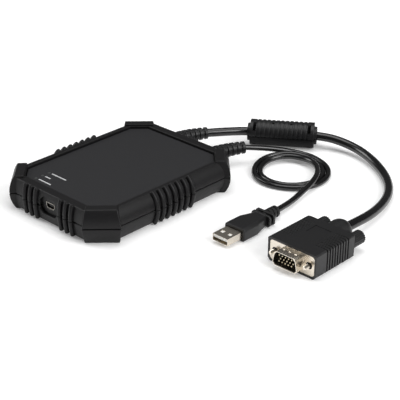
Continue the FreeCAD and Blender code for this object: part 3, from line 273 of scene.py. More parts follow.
# %% [markdown]
# Most pieces inside stay as the CAD has them: the board, its parts and the ferrite cores. A CAD node's mesh
# is left alone, and only gets its finish. The record says which slot each node belongs to, so this loop needs
# no list of its own.

# %% Dress the CAD nodes
for part in frame["record"]["subparts"]:
    dressed = frame["nodes"][part["node"]].data
    dressed.materials.clear()
    dressed.materials.append(FINISHES[part["material_slot"]])

# %% [markdown]
# The cords come first, because they carry the plugs. A cord could be a chain of cylinders, but a smooth
# NURBS spline with a round bevel bends like the real thing. Its control points are the route's own points,
# chosen along the photograph. The thin cord's coil is worked out as turns of a spiral, which is
# lifted a little at the back, where its shadow in the photograph stands clear of it.

# %% Helper for cords
def lay_cord(name, route, diameter):
    """A round cord along a list of points in millimetres."""
    curve = bpy.data.curves.new(name, "CURVE")
    curve.dimensions = "3D"
    curve.bevel_depth = diameter / 2 * MM
    curve.bevel_resolution = 7
    curve.resolution_u = 10
    curve.use_fill_caps = True
    spline = curve.splines.new("NURBS")
    spline.points.add(len(route) - 1)
    for point, place in zip(spline.points, route):
        point.co = (*mm(*place), 1)
    spline.order_u = 3
    spline.use_endpoint_u = True
    curve.materials.append(FINISHES["cord"])
    cord = bpy.data.objects.new(name, curve)
    scene.collection.objects.link(cord)
    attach(cord, "root")
    return cord, spline.calc_length()


# %% The video cord
VIDEO_CORD = 6.0
VIDEO_ROUTE = [
    (-9.71, 89.43, 11.0), (-2.8, 100.8, 10.5), (5.2, 114.1, 9.3), (25.6, 129.0, 9.05),
    (50.0, 144.9, 9.0), (64.0, 150.0, 7.0), (79.8, 149.4, 5.2), (95.0, 143.5, 3.9),
    (108.4, 135.2, 3.2), (120.2, 124.2, 3.1), (128.8, 111.8, 3.2), (134.7, 97.8, 4.0),
    (138.8, 83.3, 5.3), (141.0, 71.0, 6.7), (141.6, 60.5, 7.6), (141.45, 51.0, 7.8),
]
video_cord, video_length = lay_cord("video_cable", VIDEO_ROUTE, VIDEO_CORD)
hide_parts("video_cord")
print("video cord:", round(video_length / MM, 1), "mm")

# %% The thin cord, with its coil
USB_CORD = 3.8
USB_LEAD_ROUTE = [
    (25.29, 89.43, 11.0), (30.1, 97.6, 9.6), (35.0, 106.6, 7.4), (40.3, 115.4, 4.9),
    (46.9, 121.7, 2.9), (55.35, 123.8, 2.5), (63.5, 122.7, 2.4),
]
USB_TAIL_ROUTE = [
    (63.1, 114.6, 4.9), (70.6, 111.0, 5.2), (76.6, 105.2, 5.5), (81.7, 97.7, 5.9), (85.3, 89.2, 6.0),
    (86.75, 82.3, 5.0), (87.6, 75.2, 3.9), (88.9, 66.0, 2.6), (91.3, 55.3, 3.4), (93.0, 43.2, 4.3),
]
COIL_CENTRE = (59.9, 96.25)
COIL_FIRST_RADIUS = 26.5
COIL_LAST_RADIUS = 18.9
COIL_START = 80
COIL_SWEEP = 690
COIL_POINTS = 32
COIL_BACK = 134
COIL_LIFT = 2.6

coil_route = []
for k in range(1, COIL_POINTS + 1):
    share = k / COIL_POINTS
    angle = math.radians(COIL_START - COIL_SWEEP * share)
    radius = COIL_FIRST_RADIUS + (COIL_LAST_RADIUS - COIL_FIRST_RADIUS) * share
    lift = COIL_LIFT * max(0, math.cos(angle - math.radians(COIL_BACK)))
    coil_route.append((COIL_CENTRE[0] + radius * math.cos(angle),
                       COIL_CENTRE[1] + radius * math.sin(angle), USB_CORD / 2 + lift))
usb_cord, usb_length = lay_cord("usb_cable", USB_LEAD_ROUTE + coil_route + USB_TAIL_ROUTE, USB_CORD)
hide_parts("usb_cord_lead", "usb_cord_coil", "usb_cord_tail")
print("thin cord:", round(usb_length / MM, 1), "mm")

# %% [markdown]
# The moulded pieces share a few ways of working. A loop of points carried along by extrusion gives walls
# that curve. A spun profile gives everything round. A narrow bevel on each sharp edge catches the light as
# a real mould's edge does. A Boolean joins ribs to a wall or cuts a pocket, which keeps each piece one
# closed solid. These helpers are the whole workshop.

# %% Workshop helpers: shapes
SAME_PLACE = 0.001 * MM


def loft(bm, loops):
    """Carry a first loop of points through the others by edge extrusion, and close both ends."""
    ring = [bm.verts.new(point) for point in loops[0]]
    edges = [bm.edges.new(pair) for pair in zip(ring, ring[1:] + ring[:1])]
    bm.faces.new(ring)
    for loop in loops[1:]:
        grown = bmesh.ops.extrude_edge_only(bm, edges=edges)["geom"]
        fresh = {item for item in grown if isinstance(item, bmesh.types.BMVert)}
        ring = [next(edge.other_vert(vert) for edge in vert.link_edges if edge.other_vert(vert) in fresh)
                for vert in ring]
        for vert, point in zip(ring, loop):
            vert.co = point
        edges = [bm.edges.get(pair) for pair in zip(ring, ring[1:] + ring[:1])]
    bm.faces.new(ring)


def spin_profile(bm, points, axis, angle=2 * math.pi, steps=64, closed=False):
    """Spin a profile about an axis through the origin; a part turn leaves two ends to fill."""
    chain = [bm.verts.new(point) for point in points]
    pairs = list(zip(chain, chain[1:]))
    if closed:
        pairs.append((chain[-1], chain[0]))
    edges = [bm.edges.new(pair) for pair in pairs]
    full = angle >= 2 * math.pi
    bmesh.ops.spin(bm, geom=chain + edges, cent=(0, 0, 0), axis=axis, angle=angle, steps=steps,
                   use_merge=full, use_duplicate=False)
    bmesh.ops.remove_doubles(bm, verts=bm.verts, dist=SAME_PLACE)
    if not full:
        bmesh.ops.holes_fill(bm, edges=bm.edges, sides=0)


def soften(bm, width, segments=3, sharper_than=35, edges=None):
    """Round the edges that are sharper than an angle; the width is in millimetres."""
    bmesh.ops.recalc_face_normals(bm, faces=bm.faces)
    bm.normal_update()
    sharp = [edge for edge in edges or bm.edges
             if edge.is_manifold and edge.calc_face_angle() > math.radians(sharper_than)]
    bmesh.ops.bevel(bm, geom=sharp, offset=width * MM, segments=segments, profile=0.5,
                    affect="EDGES", clamp_overlap=True, material=-1)


# %% Workshop helpers: solids and finished pieces
def as_solid(bm, name):
    """Turn a bmesh into an object with merged points and outward faces."""
    bmesh.ops.remove_doubles(bm, verts=bm.verts, dist=SAME_PLACE)
    bmesh.ops.recalc_face_normals(bm, faces=bm.faces)
    mesh = bpy.data.meshes.new(name)
    bm.to_mesh(mesh)
    bm.free()
    solid = bpy.data.objects.new(name, mesh)
    scene.collection.objects.link(solid)
    return solid


def combine(base, tool, operation):
    """Join a tool to a base or cut it away, keep the result, and drop the tool."""
    boolean = base.modifiers.new("combine", "BOOLEAN")
    boolean.operation = operation
    boolean.solver = "EXACT"
    boolean.object = tool
    settled = base.evaluated_get(bpy.context.evaluated_depsgraph_get())
    mesh = bpy.data.meshes.new_from_object(settled)
    base.modifiers.clear()
    base.data = mesh
    bpy.data.objects.remove(tool)


def finish_piece(piece, slot, body, *nodes):
    """Dress a solid, smooth it between its sharp edges, and seat it on its body."""
    mesh = piece.data
    mesh.materials.clear()
    mesh.materials.append(FINISHES[slot])
    mesh.shade_smooth()
    mesh.set_sharp_from_angle(angle=math.radians(38))
    weighted = piece.modifiers.new("flat_faces_stay_flat", "WEIGHTED_NORMAL")
    weighted.keep_sharp = True
    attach(piece, body)
    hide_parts(*nodes)
    print(piece.name, "has", len(mesh.polygons), "faces")
    return piece


# %% [markdown]
# The housing is two shells that meet at a seam all the way round. Each wall starts upright at the seam and
# curves inwards, and the corners are clipped at 45 degrees. A cube with many cuts could be pushed into this
# shape, but eight corner points carried from loop to loop give the same curve with far less work. Each
# list of loops runs from the hidden inner face, out over the seam, along the wall and over the rim.

# %% Sizes of the housing, and its outline at any height
HALF_WIDTH = 47.9
HALF_LENGTH = 61.35
CLIP_REACH = 92.85
SEAM = {"upper": 11.2, "lower": 10.8}
WALL_END = {"upper": 21.0, "lower": 1.2}
SIDE_LEAN = {"upper": 4.8, "lower": 2.8}
END_LEAN = {"upper": 1.8, "lower": 1.2}
WALL_STEPS = 10


def curve_in(drop, lean, rise):
    """How far a wall has curved in, a drop away from the seam where it stands upright."""
    radius = (lean ** 2 + rise ** 2) / (2 * lean)
    return radius - math.sqrt(radius ** 2 - drop ** 2)


def octagon_loop(x, y, reach, z):
    """Corners of a rectangle that is clipped where its two coordinates add up to the reach."""
    side = reach - x
    end = reach - y
    corners = [(x, -side), (x, side), (end, y), (-end, y), (-x, side), (-x, -side), (-end, -y), (end, -y)]
    return [mm(corner_x, corner_y, z) for corner_x, corner_y in corners]


def wall_loops(half):
    """Loops of one shell's outer wall, from the seam to its rim or base."""
    rise = abs(WALL_END[half] - SEAM[half])
    loops = []
    for k in range(WALL_STEPS + 1):
        drop = rise * k / WALL_STEPS
        z = SEAM[half] + math.copysign(drop, WALL_END[half] - SEAM[half])
        loops.append(octagon_loop(HALF_WIDTH - curve_in(drop, SIDE_LEAN[half], rise),
                                  HALF_LENGTH - curve_in(drop, END_LEAN[half], rise), CLIP_REACH, z))
    return loops


# %% The two shells' bodies
CAVITY = (43.7, 58.15, 88.0)
LIP = (44.9, 59.35, 89.7)
REBATE = (45.05, 59.5, 89.9)
RECESS = (39.9, 53.5, 84.36)
RECESS_FLOOR = 18.2
ROOF_UNDERSIDE = 16.7
REBATE_TOP = 12.55
LIP_TOP = 12.4
FLOOR_TOP = 3.2

bm = bmesh.new()
loft(bm, [octagon_loop(*CAVITY, ROOF_UNDERSIDE), octagon_loop(*CAVITY, REBATE_TOP),
          octagon_loop(*REBATE, REBATE_TOP),
          octagon_loop(*REBATE, SEAM["upper"]), *wall_loops("upper"),
          octagon_loop(*RECESS, WALL_END["upper"]), octagon_loop(*RECESS, RECESS_FLOOR)])
soften(bm, 0.5)
upper_shell = as_solid(bm, "upper_moulding")

bm = bmesh.new()
loft(bm, [octagon_loop(*CAVITY, FLOOR_TOP), octagon_loop(*CAVITY, LIP_TOP), octagon_loop(*LIP, LIP_TOP),
          octagon_loop(*LIP, SEAM["lower"]), *wall_loops("lower")])
soften(bm, 0.5)
lower_shell = as_solid(bm, "lower_moulding")
print("shell bodies:", len(upper_shell.data.polygons), len(lower_shell.data.polygons))

# %% [markdown]
# Thick guards stand proud of the four clipped corners, so that the box survives a fall. Each guard is a block
# whose outer face bulges and whose sides draw in towards its top. One guard is lofted at the origin, its
# edges are rounded, and it is turned into each corner.

# %% The corner guards
GUARD_PLACE = (39.7, 53.15)
GUARD_TIP = {"upper": 22.2, "lower": 0.0}
GUARD_HALF = 11.7
GUARD_TAPER = {"upper": 2.0, "lower": 1.1}
GUARD_PROUD = 4.05
GUARD_LEAN = 3.6
GUARD_DEPTH = 5.6


def guard(half, x_side, y_side):
    rise = abs(GUARD_TIP[half] - SEAM[half])
    bm = bmesh.new()
    loops = []
    for k in range(WALL_STEPS + 1):
        drop = rise * k / WALL_STEPS
        z = SEAM[half] + math.copysign(drop, GUARD_TIP[half] - SEAM[half])
        wide = GUARD_HALF - GUARD_TAPER[half] * k / WALL_STEPS
        reach = GUARD_PROUD - curve_in(drop, GUARD_LEAN, rise)
        loops.append([mm(-GUARD_DEPTH, -wide, z), mm(reach, -wide, z), mm(reach, wide, z),
                      mm(-GUARD_DEPTH, wide, z)])
    loft(bm, loops)
    soften(bm, 0.5)
    turn = Matrix.Rotation(math.atan2(y_side, x_side), 4, "Z")
    place = Matrix.Translation(mm(GUARD_PLACE[0] * x_side, GUARD_PLACE[1] * y_side, 0))
    bmesh.ops.transform(bm, matrix=place @ turn, verts=bm.verts)
    return as_solid(bm, "guard")


for half, shell in (("upper", upper_shell), ("lower", lower_shell)):
    for x_side, y_side in ((1, 1), (-1, 1), (-1, -1), (1, -1)):
        combine(shell, guard(half, x_side, y_side), "UNION")
print("guards joined:", len(upper_shell.data.polygons), len(lower_shell.data.polygons))

# %% [markdown]
# Rounded ribs run up the walls where fingers hold the box: seven on each long side, three on each side of the
# port, and four between the strain reliefs. Each is a rounded section spun about the centre of the wall's own
# curve, so it hugs the wall all the way. The far end is rounded with a bevel.

# %% The grip ribs
RIB_HALF_WIDE = 1.5
RIB_STRAIGHT = 0.6
RIB_PROUD = 2.0
RIB_SINK = 1.0
RIB_PITCH = 5.15
PORT_RIB_START = 11.4
RIB_SECTION_STEPS = 10


def add_rib(bm, half, wall, lean, offset):
    """One rib on a wall that faces +X; the edges of its far end come back for rounding."""
    rise = abs(WALL_END[half] - SEAM[half])
    radius = (lean ** 2 + rise ** 2) / (2 * lean)
    section = [(-RIB_HALF_WIDE, -RIB_SINK)]
    for k in range(RIB_SECTION_STEPS + 1):
        angle = math.pi * k / RIB_SECTION_STEPS
        section.append((-RIB_HALF_WIDE * math.cos(angle),
                        RIB_STRAIGHT + (RIB_PROUD - RIB_STRAIGHT) * math.sin(angle)))
    section.append((RIB_HALF_WIDE, -RIB_SINK))
    chain = [bm.verts.new(mm(wall + tall, offset + across, SEAM[half])) for across, tall in section]
    edges = [bm.edges.new(pair) for pair in zip(chain, chain[1:] + chain[:1])]
    up = -1 if half == "upper" else 1
    swept = bmesh.ops.spin(bm, geom=chain + edges, cent=mm(wall - radius, 0, SEAM[half]),
                           axis=(0, up, 0), angle=math.asin(rise / radius), steps=WALL_STEPS,
                           use_duplicate=False)
    rim = [item for item in swept["geom_last"] if isinstance(item, bmesh.types.BMEdge)]
    bmesh.ops.contextual_create(bm, geom=edges)
    bmesh.ops.contextual_create(bm, geom=rim)
    return rim


def rib_plan():
    """Each rib's wall, as a turn about Z, and its place along that wall."""
    plan = []
    for k in range(-3, 4):
        plan += [(0, RIB_PITCH * k), (180, RIB_PITCH * k)]
    for k in range(3):
        offset = PORT_RIB_START + RIB_PITCH * k
        plan += [(-90, offset), (-90, -offset)]
    for k in (-1.5, -0.5, 0.5, 1.5):
        plan.append((90, RIB_PITCH * k))
    return plan


def rib_set(half):
    """All ribs of one shell, as one solid of many islands."""
    bm = bmesh.new()
    for turn, offset in rib_plan():
        single = bmesh.new()
        if turn in (0, 180):
            rim = add_rib(single, half, HALF_WIDTH, SIDE_LEAN[half], offset)
        else:
            rim = add_rib(single, half, HALF_LENGTH, END_LEAN[half], offset)
        soften(single, 0.5, edges=rim)
        bmesh.ops.rotate(single, cent=(0, 0, 0), matrix=Matrix.Rotation(math.radians(turn), 3, "Z"),
                         verts=single.verts)
        island = bpy.data.meshes.new("rib")
        single.to_mesh(island)
        single.free()
        bm.from_mesh(island)
        bpy.data.meshes.remove(island)
    return as_solid(bm, "ribs")


combine(upper_shell, rib_set("upper"), "UNION")
combine(lower_shell, rib_set("lower"), "UNION")
print("ribs joined:", len(upper_shell.data.polygons), len(lower_shell.data.polygons))

# %% [markdown]
# The mini port looks out of an eight-sided pocket in the front wall, and the strain reliefs leave through two
# round holes in the rear wall. Both cross the seam, so each cutter is used on both shells. The pocket's
# cutter widens at its mouth, which leaves a chamfered edge. Screw wells under the base are drilled holes.

# %% Pocket, port window, relief holes and screw wells
POCKET = {"half_wide": 8.0, "low": 6.6, "high": 18.0, "clip": 3.0}
POCKET_DEPTHS = [(0, -59.15), (0, -60.7), (0.7, -61.6), (0.7, -70)]
PORT = {"half_wide": 3.85, "half_foot": 2.8, "low": 10.6, "step": 12.1, "high": 14.5}
PORT_GAP = 0.25
PORT_REACH = (-62, -50)
RELIEF_X = 17.5
RELIEF_HEIGHT = 11.0
RELIEF_HOLE = 5.7
RELIEF_REACH = (57, 66)
SCREW_PLACE = (37.0, 45.0)
SCREW_WELL = 2.45
WELL_REACH = (-1, 4.4)


def pocket_loop(grow, y):
    wide = POCKET["half_wide"] + grow
    tall = (POCKET["high"] - POCKET["low"]) / 2 + grow
    middle = (POCKET["high"] + POCKET["low"]) / 2
    corner = octagon_loop(wide, tall, wide + tall - POCKET["clip"], 0)
    return [Vector((point.x, y * MM, point.y + middle * MM)) for point in corner]


def port_loop(grow, y):
    wide = PORT["half_wide"] + grow
    foot = PORT["half_foot"] + grow
    outline = [(-foot, PORT["low"] - grow), (foot, PORT["low"] - grow), (wide, PORT["step"]),
               (wide, PORT["high"] + grow), (-wide, PORT["high"] + grow), (-wide, PORT["step"])]
    return [mm(x, y, z) for x, z in outline]


def drill(bm, radius, start, end):
    """A round cutter between two points."""
    along = end - start
    place = Matrix.Translation((start + end) / 2) @ along.to_track_quat("Z", "Y").to_matrix().to_4x4()
    bmesh.ops.create_cone(bm, cap_ends=True, segments=48, radius1=radius * MM, radius2=radius * MM,
                          depth=along.length, matrix=place)


def wall_cutters():
    bm = bmesh.new()
    loft(bm, [pocket_loop(grow, y) for grow, y in POCKET_DEPTHS])
    for x in (-RELIEF_X, RELIEF_X):
        drill(bm, RELIEF_HOLE, *[mm(x, y, RELIEF_HEIGHT) for y in RELIEF_REACH])
    return as_solid(bm, "wall_cutters")


def port_window():
    bm = bmesh.new()
    loft(bm, [port_loop(PORT_GAP, y) for y in PORT_REACH])
    return as_solid(bm, "port_window")


bm = bmesh.new()
for x_side in (-1, 1):
    for y_side in (-1, 1):
        x, y = SCREW_PLACE[0] * x_side, SCREW_PLACE[1] * y_side
        drill(bm, SCREW_WELL, *[mm(x, y, z) for z in WELL_REACH])
combine(lower_shell, as_solid(bm, "screw_wells"), "DIFFERENCE")
for shell in (upper_shell, lower_shell):
    combine(shell, wall_cutters(), "DIFFERENCE")
    combine(shell, port_window(), "DIFFERENCE")
finish_piece(upper_shell, "housing", "root", "upper_shell")
finish_piece(lower_shell, "housing", "root", "lower_shell")

# %% [markdown]
# The top panel is a thin plate let into the roof, a shade greyer than the shells, with a dark gap round it.
# Three light pipes come up through it near the front, each with a short printed mark beside it. The marks
# are thin slabs of ink, so that they also show in a render from close by.

# %% A box that later cells cut with or print with
def add_box(bm, middle, sides):
    """A box by its middle point and its three sides, in millimetres."""
    place = Matrix.Translation(mm(*middle)) @ Matrix.Diagonal((*mm(*sides), 1))
    return bmesh.ops.create_cube(bm, size=1, matrix=place)["verts"]


# %% Top panel and its printed marks
PANEL = (39.4, 53.0, 83.66)
PANEL_TOP = 19.4
PIPE_HOLE = 1.1
PIPE_PLACES = [(-25.6, -49.2), (-25.6, -43.9), (-25.6, -38.6)]
MARKS = [(-23.0, -11.6, -49.0), (-23.2, -18.2, -43.7), (-23.1, -9.6, -38.4)]
MARK_TALL = 1.0
INK = 0.04

bm = bmesh.new()
loft(bm, [octagon_loop(*PANEL, RECESS_FLOOR), octagon_loop(*PANEL, PANEL_TOP)])
soften(bm, 0.35)
top_panel = as_solid(bm, "roof_panel")
bm = bmesh.new()
for x, y in PIPE_PLACES:
    drill(bm, PIPE_HOLE, mm(x, y, RECESS_FLOOR - 1), mm(x, y, PANEL_TOP + 1))
combine(top_panel, as_solid(bm, "pipe_holes"), "DIFFERENCE")
finish_piece(top_panel, "panel", "root", "top_panel")

FINISHES["mark_ink"] = plain_finish("mark_ink", (0.5, 0.505, 0.51), 0.6)
bm = bmesh.new()
for left, right, y in MARKS:
    add_box(bm, ((left + right) / 2, y, PANEL_TOP + INK / 2), (right - left, MARK_TALL, INK))
marks = as_solid(bm, "panel_marks")
marks.data.materials.append(FINISHES["mark_ink"])
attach(marks, "root")
print("marks:", len(MARKS))

# %% [markdown]
# Each cord leaves the box through a ribbed rubber sleeve, which the pull of the cord has bent to one side.
# A bent sleeve is hard to model directly, so it is spun straight, with its rings, and then every point is
# moved along an arc. The bend is a short formula: the further out a point is, the more it turns.

# %% The two strain reliefs
RELIEF_LENGTH = 29.5
RELIEF_BASE = 5.6
RELIEF_TIP = 4.1
RELIEF_RINGS = 8
RELIEF_RING = 2.3
RELIEF_GROOVE = 1.0
RELIEF_BEND_RADIUS = 54.5
RELIEF_START = HALF_LENGTH
RELIEF_ROOT = 3.0


def relief_profile():
    """Radius along the sleeve: rings over a narrower core, both tapering to the tip."""
    slope = (RELIEF_TIP - RELIEF_BASE) / RELIEF_LENGTH
    pitch = (RELIEF_LENGTH - RELIEF_RING) / (RELIEF_RINGS - 1)
    profile = [(0, -RELIEF_ROOT), (RELIEF_BASE, -RELIEF_ROOT)]
    for k in range(RELIEF_RINGS):
        low = pitch * k
        high = low + RELIEF_RING
        if k:
            profile.append((RELIEF_BASE + slope * low - RELIEF_GROOVE, low))
            profile.append((RELIEF_BASE + slope * low, low))
        profile.append((RELIEF_BASE + slope * high, high))
        if k < RELIEF_RINGS - 1:
            profile.append((RELIEF_BASE + slope * high - RELIEF_GROOVE, high))
    profile.append((0, RELIEF_LENGTH))
    return [mm(radius, along, 0) for radius, along in profile]


def strain_relief(name, x, node):
    bm = bmesh.new()
    spin_profile(bm, relief_profile(), (0, 1, 0), steps=48)
    soften(bm, 0.3)
    for vert in bm.verts:
        along = max(vert.co.y, 0) / (RELIEF_BEND_RADIUS * MM)
        behind = min(vert.co.y, 0)
        reach = RELIEF_BEND_RADIUS * MM - vert.co.x
        vert.co = Vector((x * MM + RELIEF_BEND_RADIUS * MM - reach * math.cos(along),
                          RELIEF_START * MM + behind + reach * math.sin(along),
                          RELIEF_HEIGHT * MM + vert.co.z))
    return finish_piece(as_solid(bm, name), "relief", "root", node)


video_relief = strain_relief("video_relief_sleeve", -RELIEF_X, "video_strain_relief")
usb_relief = strain_relief("usb_relief_sleeve", RELIEF_X, "usb_strain_relief")

# %% [markdown]
# The clip-on ferrite is a round case in two halves, with a hinge along one side and latch windows along the
# other. Its lid has eleven grip rings between two plain bands, and its base is smooth. Each half is a closed
# profile spun through half a turn, and the latch windows are cut by boxes, so that the dark core shows.
# The hinge rods stop a hair short of the room cut for them, because a Boolean leaves stray faces where two
# flat ends share a plane. The base gets a darker, duller copy of the lid's finish, as in the photograph; it
# is painted shade on the lower half of the case.

# %% Sizes and profile of the ferrite case
FERRITE_CENTRE = (25.85, 128.55, 9.05)
FERRITE_YAW = 34.8
FERRITE_RADIUS = 9.05
FERRITE_HALF = 22.25
FERRITE_GROOVE = 0.45
FERRITE_RING = 2.0
FERRITE_PITCH = 3.2
FERRITE_RINGS = 11
BAND_START = 17.9
COLLAR_RADIUS = 6.2
COLLAR_LENGTH = 1.9
CORD_BORE = 3.9
CORE_RADIUS = 6.95
CORE_HALF = 20.25
SPLIT = 0.15


def ring_profile():
    """The lid's rings and the grooves between them."""
    groove = FERRITE_RADIUS - FERRITE_GROOVE
    profile = [(-BAND_START, FERRITE_RADIUS), (-BAND_START, groove)]
    for k in range(FERRITE_RINGS):
        middle = FERRITE_PITCH * (k - (FERRITE_RINGS - 1) / 2)
        low = middle - FERRITE_RING / 2
        high = middle + FERRITE_RING / 2
        profile += [(low, groove), (low, FERRITE_RADIUS), (high, FERRITE_RADIUS), (high, groove)]
    return profile + [(BAND_START, groove), (BAND_START, FERRITE_RADIUS)]


def ferrite_half(name, up, rings):
    """Half of the case, a hair short of half a turn so that the split shows."""
    end = FERRITE_HALF + COLLAR_LENGTH
    outside = [(-end, CORD_BORE), (-end, COLLAR_RADIUS), (-FERRITE_HALF, COLLAR_RADIUS),
               (-FERRITE_HALF, FERRITE_RADIUS), *rings, (FERRITE_HALF, FERRITE_RADIUS),
               (FERRITE_HALF, COLLAR_RADIUS), (end, COLLAR_RADIUS), (end, CORD_BORE)]
    inside = [(CORE_HALF, CORD_BORE), (CORE_HALF, CORE_RADIUS), (-CORE_HALF, CORE_RADIUS),
              (-CORE_HALF, CORD_BORE)]
    gap = math.asin(SPLIT / FERRITE_RADIUS)
    bm = bmesh.new()
    points = [mm(along, radius * math.cos(gap), up * radius * math.sin(gap))
              for along, radius in outside + inside]
    spin_profile(bm, points, (up, 0, 0), angle=math.pi - 2 * gap, steps=40, closed=True)
    soften(bm, 0.2, segments=2)
    return as_solid(bm, name)


# %% Latch windows, gate marks and hinge of the ferrite case
LATCH_X = 19.05
LATCH_WIDE = 2.1
LID_WINDOW = (2.65, 3.7, 8.6)
BASE_WINDOW = (4.6, -7.7, -6.0)
GATE_X = 6.4
GATE_ANGLE = 69.6
GATE_RADIUS = 0.85
GATE_REACH = (8.2, 12)
HINGE_Y = 9.25
HINGE_RADIUS = 1.0
HINGE_MIDDLE = 10.0
HINGE_END = 16.0
HINGE_GAP = 0.35
HINGE_STEP = 0.02


def along_ferrite(bm, radius, low, high, y):
    drill(bm, radius, mm(low, y, 0), mm(high, y, 0))


def latch_windows(name, side, low, high):
    """Boxes through the front wall, which leave the core in sight."""
    bm = bmesh.new()
    for x in (-LATCH_X, LATCH_X):
        add_box(bm, (x, -side - FERRITE_RADIUS, (low + high) / 2),
                (LATCH_WIDE, FERRITE_RADIUS * 2, high - low))
    return as_solid(bm, name)


def gate_marks():
    """Two shallow round marks high on the lid's front, where the mould was filled."""
    slope = math.radians(GATE_ANGLE)
    outward = Vector((0, -math.cos(slope), math.sin(slope)))
    bm = bmesh.new()
    for x in (-GATE_X, GATE_X):
        drill(bm, GATE_RADIUS, *[mm(x, 0, 0) + outward * reach * MM for reach in GATE_REACH])
    return as_solid(bm, "gate_marks")


def hinge_rods(name, radius, *stretches):
    bm = bmesh.new()
    for low, high in stretches:
        along_ferrite(bm, radius, low, high, HINGE_Y)
    return as_solid(bm, name)


# %% The two halves of the ferrite case
ferrite_place = (Matrix.Translation(mm(*FERRITE_CENTRE))
                 @ Matrix.Rotation(math.radians(FERRITE_YAW), 4, "Z"))
clear = HINGE_RADIUS + HINGE_GAP
lid_end = HINGE_MIDDLE - HINGE_GAP
room_end = HINGE_END + HINGE_GAP
rod_end = lid_end - HINGE_STEP
rod_start = HINGE_MIDDLE + HINGE_STEP

ferrite_lid = ferrite_half("ferrite_lid_shell", 1, ring_profile())
combine(ferrite_lid, latch_windows("lid_windows", *LID_WINDOW), "DIFFERENCE")
combine(ferrite_lid, gate_marks(), "DIFFERENCE")
combine(ferrite_lid, hinge_rods("lid_room", clear, (-room_end, -lid_end), (lid_end, room_end)), "DIFFERENCE")
combine(ferrite_lid, hinge_rods("lid_knuckle", HINGE_RADIUS, (-rod_end, rod_end)), "UNION")
ferrite_lid.data.transform(ferrite_place)
finish_piece(ferrite_lid, "ferrite_case", "ferrite_lid", "ferrite_case_upper")

ferrite_base = ferrite_half("ferrite_base_shell", -1, [])
combine(ferrite_base, latch_windows("base_windows", *BASE_WINDOW), "DIFFERENCE")
combine(ferrite_base, hinge_rods("base_room", clear, (-HINGE_MIDDLE, HINGE_MIDDLE)), "DIFFERENCE")
combine(ferrite_base, hinge_rods("base_knuckles", HINGE_RADIUS, (-HINGE_END, -rod_start),
                                 (rod_start, HINGE_END)), "UNION")
ferrite_base.data.transform(ferrite_place)
finish_piece(ferrite_base, "ferrite_case", "root", "ferrite_case_lower")
# The base's darker, duller finish is painted shade on the lower half of the case.
ferrite_base.data.materials[0] = plain_finish("ferrite_base_painted_shade", (0.004, 0.004, 0.0045), 0.5,
                                              specular=0.12)

# %% [markdown]
# The video plug's hood is one moulding over the plug: smooth in front, with grip grooves round its sides
# further back, a shallow recess on top, and a round dome where the cord goes in. The section is carried along
# the hood, and at each groove its sides step in and out again, so the grooves need no cutters at all.

# %% The video plug's hood
PLUG_X = 141.45
PLUG_AXIS = 7.8
HOOD_HALF_WIDE = 17.8
HOOD_TALL = 15.6
HOOD_LENGTH = 36.0
HOOD_EDGE = 0.8
HOOD_FOOT = 1.8
HOOD_CLIP = 0.9
GRIPS = 9
GRIP_START = 10.0
GRIP_PITCH = 2.4
GRIP_HALF = 0.5
GRIP_DEPTH = 0.7
GRIP_WRAP = 9.4
GRIP_SLOPE = 0.1
FACE = {"wide": 16.45, "low": 1.25, "high": 14.35, "edge": 1.2, "foot": 1.2}
FACE_DEPTH = 1.0
JACK_OFFSET = 12.5


def hood_loop(y, wide=HOOD_HALF_WIDE, low=0.0, high=HOOD_TALL, edge=HOOD_EDGE, foot=HOOD_FOOT, step=0.0):
    """The hood's section; a step draws in the sides and the edges of the top."""
    top = high - step / 2
    half = [(wide - foot - step, low), (wide - step, low + foot), (wide - step, top - edge),
            (wide - edge - step, top), (wide - GRIP_WRAP + step, top), (wide - GRIP_WRAP, high)]
    section = half + [(-x, z) for x, z in reversed(half)]
    return [mm(PLUG_X + x, y, z) for x, z in section]


def hood_body():
    loops = [hood_loop(FACE_DEPTH, **FACE), hood_loop(0, **FACE), hood_loop(0)]
    for k in range(GRIPS):
        middle = GRIP_START + GRIP_PITCH * k
        outer = GRIP_HALF + GRIP_SLOPE
        inner = GRIP_HALF - GRIP_SLOPE
        loops += [hood_loop(middle - outer), hood_loop(middle - inner, step=GRIP_DEPTH),
                  hood_loop(middle + inner, step=GRIP_DEPTH), hood_loop(middle + outer)]
    loops += [hood_loop(HOOD_LENGTH - HOOD_CLIP), hood_loop(HOOD_LENGTH, wide=HOOD_HALF_WIDE - HOOD_CLIP)]
    bm = bmesh.new()
    loft(bm, loops)
    soften(bm, 0.25, segments=2)
    return as_solid(bm, "video_hood_moulding")


# %% Dome, recess and bores of the hood
DOME_RADIUS = 7.7
DOME_TIP = 3.4
DOME_ROOT = 28.0
DOME_FRONT = 44.0
DOME_LENGTH = 7.0
DOME_STEPS = 10
CROWN_MIDDLE = (PLUG_X, 24.5, HOOD_TALL)
CROWN = (12.0, 9.0, 0.7)
SHROUD_ROOM = (17.3, 24.1, 8.5)
JACK_BORE = 1.72

video_hood = hood_body()
dome = [(0, DOME_ROOT), (DOME_RADIUS, DOME_ROOT)]
for k in range(DOME_STEPS + 1):
    along = DOME_LENGTH * k / DOME_STEPS
    dome.append((DOME_RADIUS - curve_in(along, DOME_RADIUS - DOME_TIP, DOME_LENGTH), DOME_FRONT + along))
dome.append((0, DOME_FRONT + DOME_LENGTH))
bm = bmesh.new()
spin_profile(bm, [mm(radius, along, 0) for radius, along in dome], (0, 1, 0))
soften(bm, 0.6)
bmesh.ops.translate(bm, verts=bm.verts, vec=mm(PLUG_X, 0, PLUG_AXIS))
combine(video_hood, as_solid(bm, "hood_dome"), "UNION")

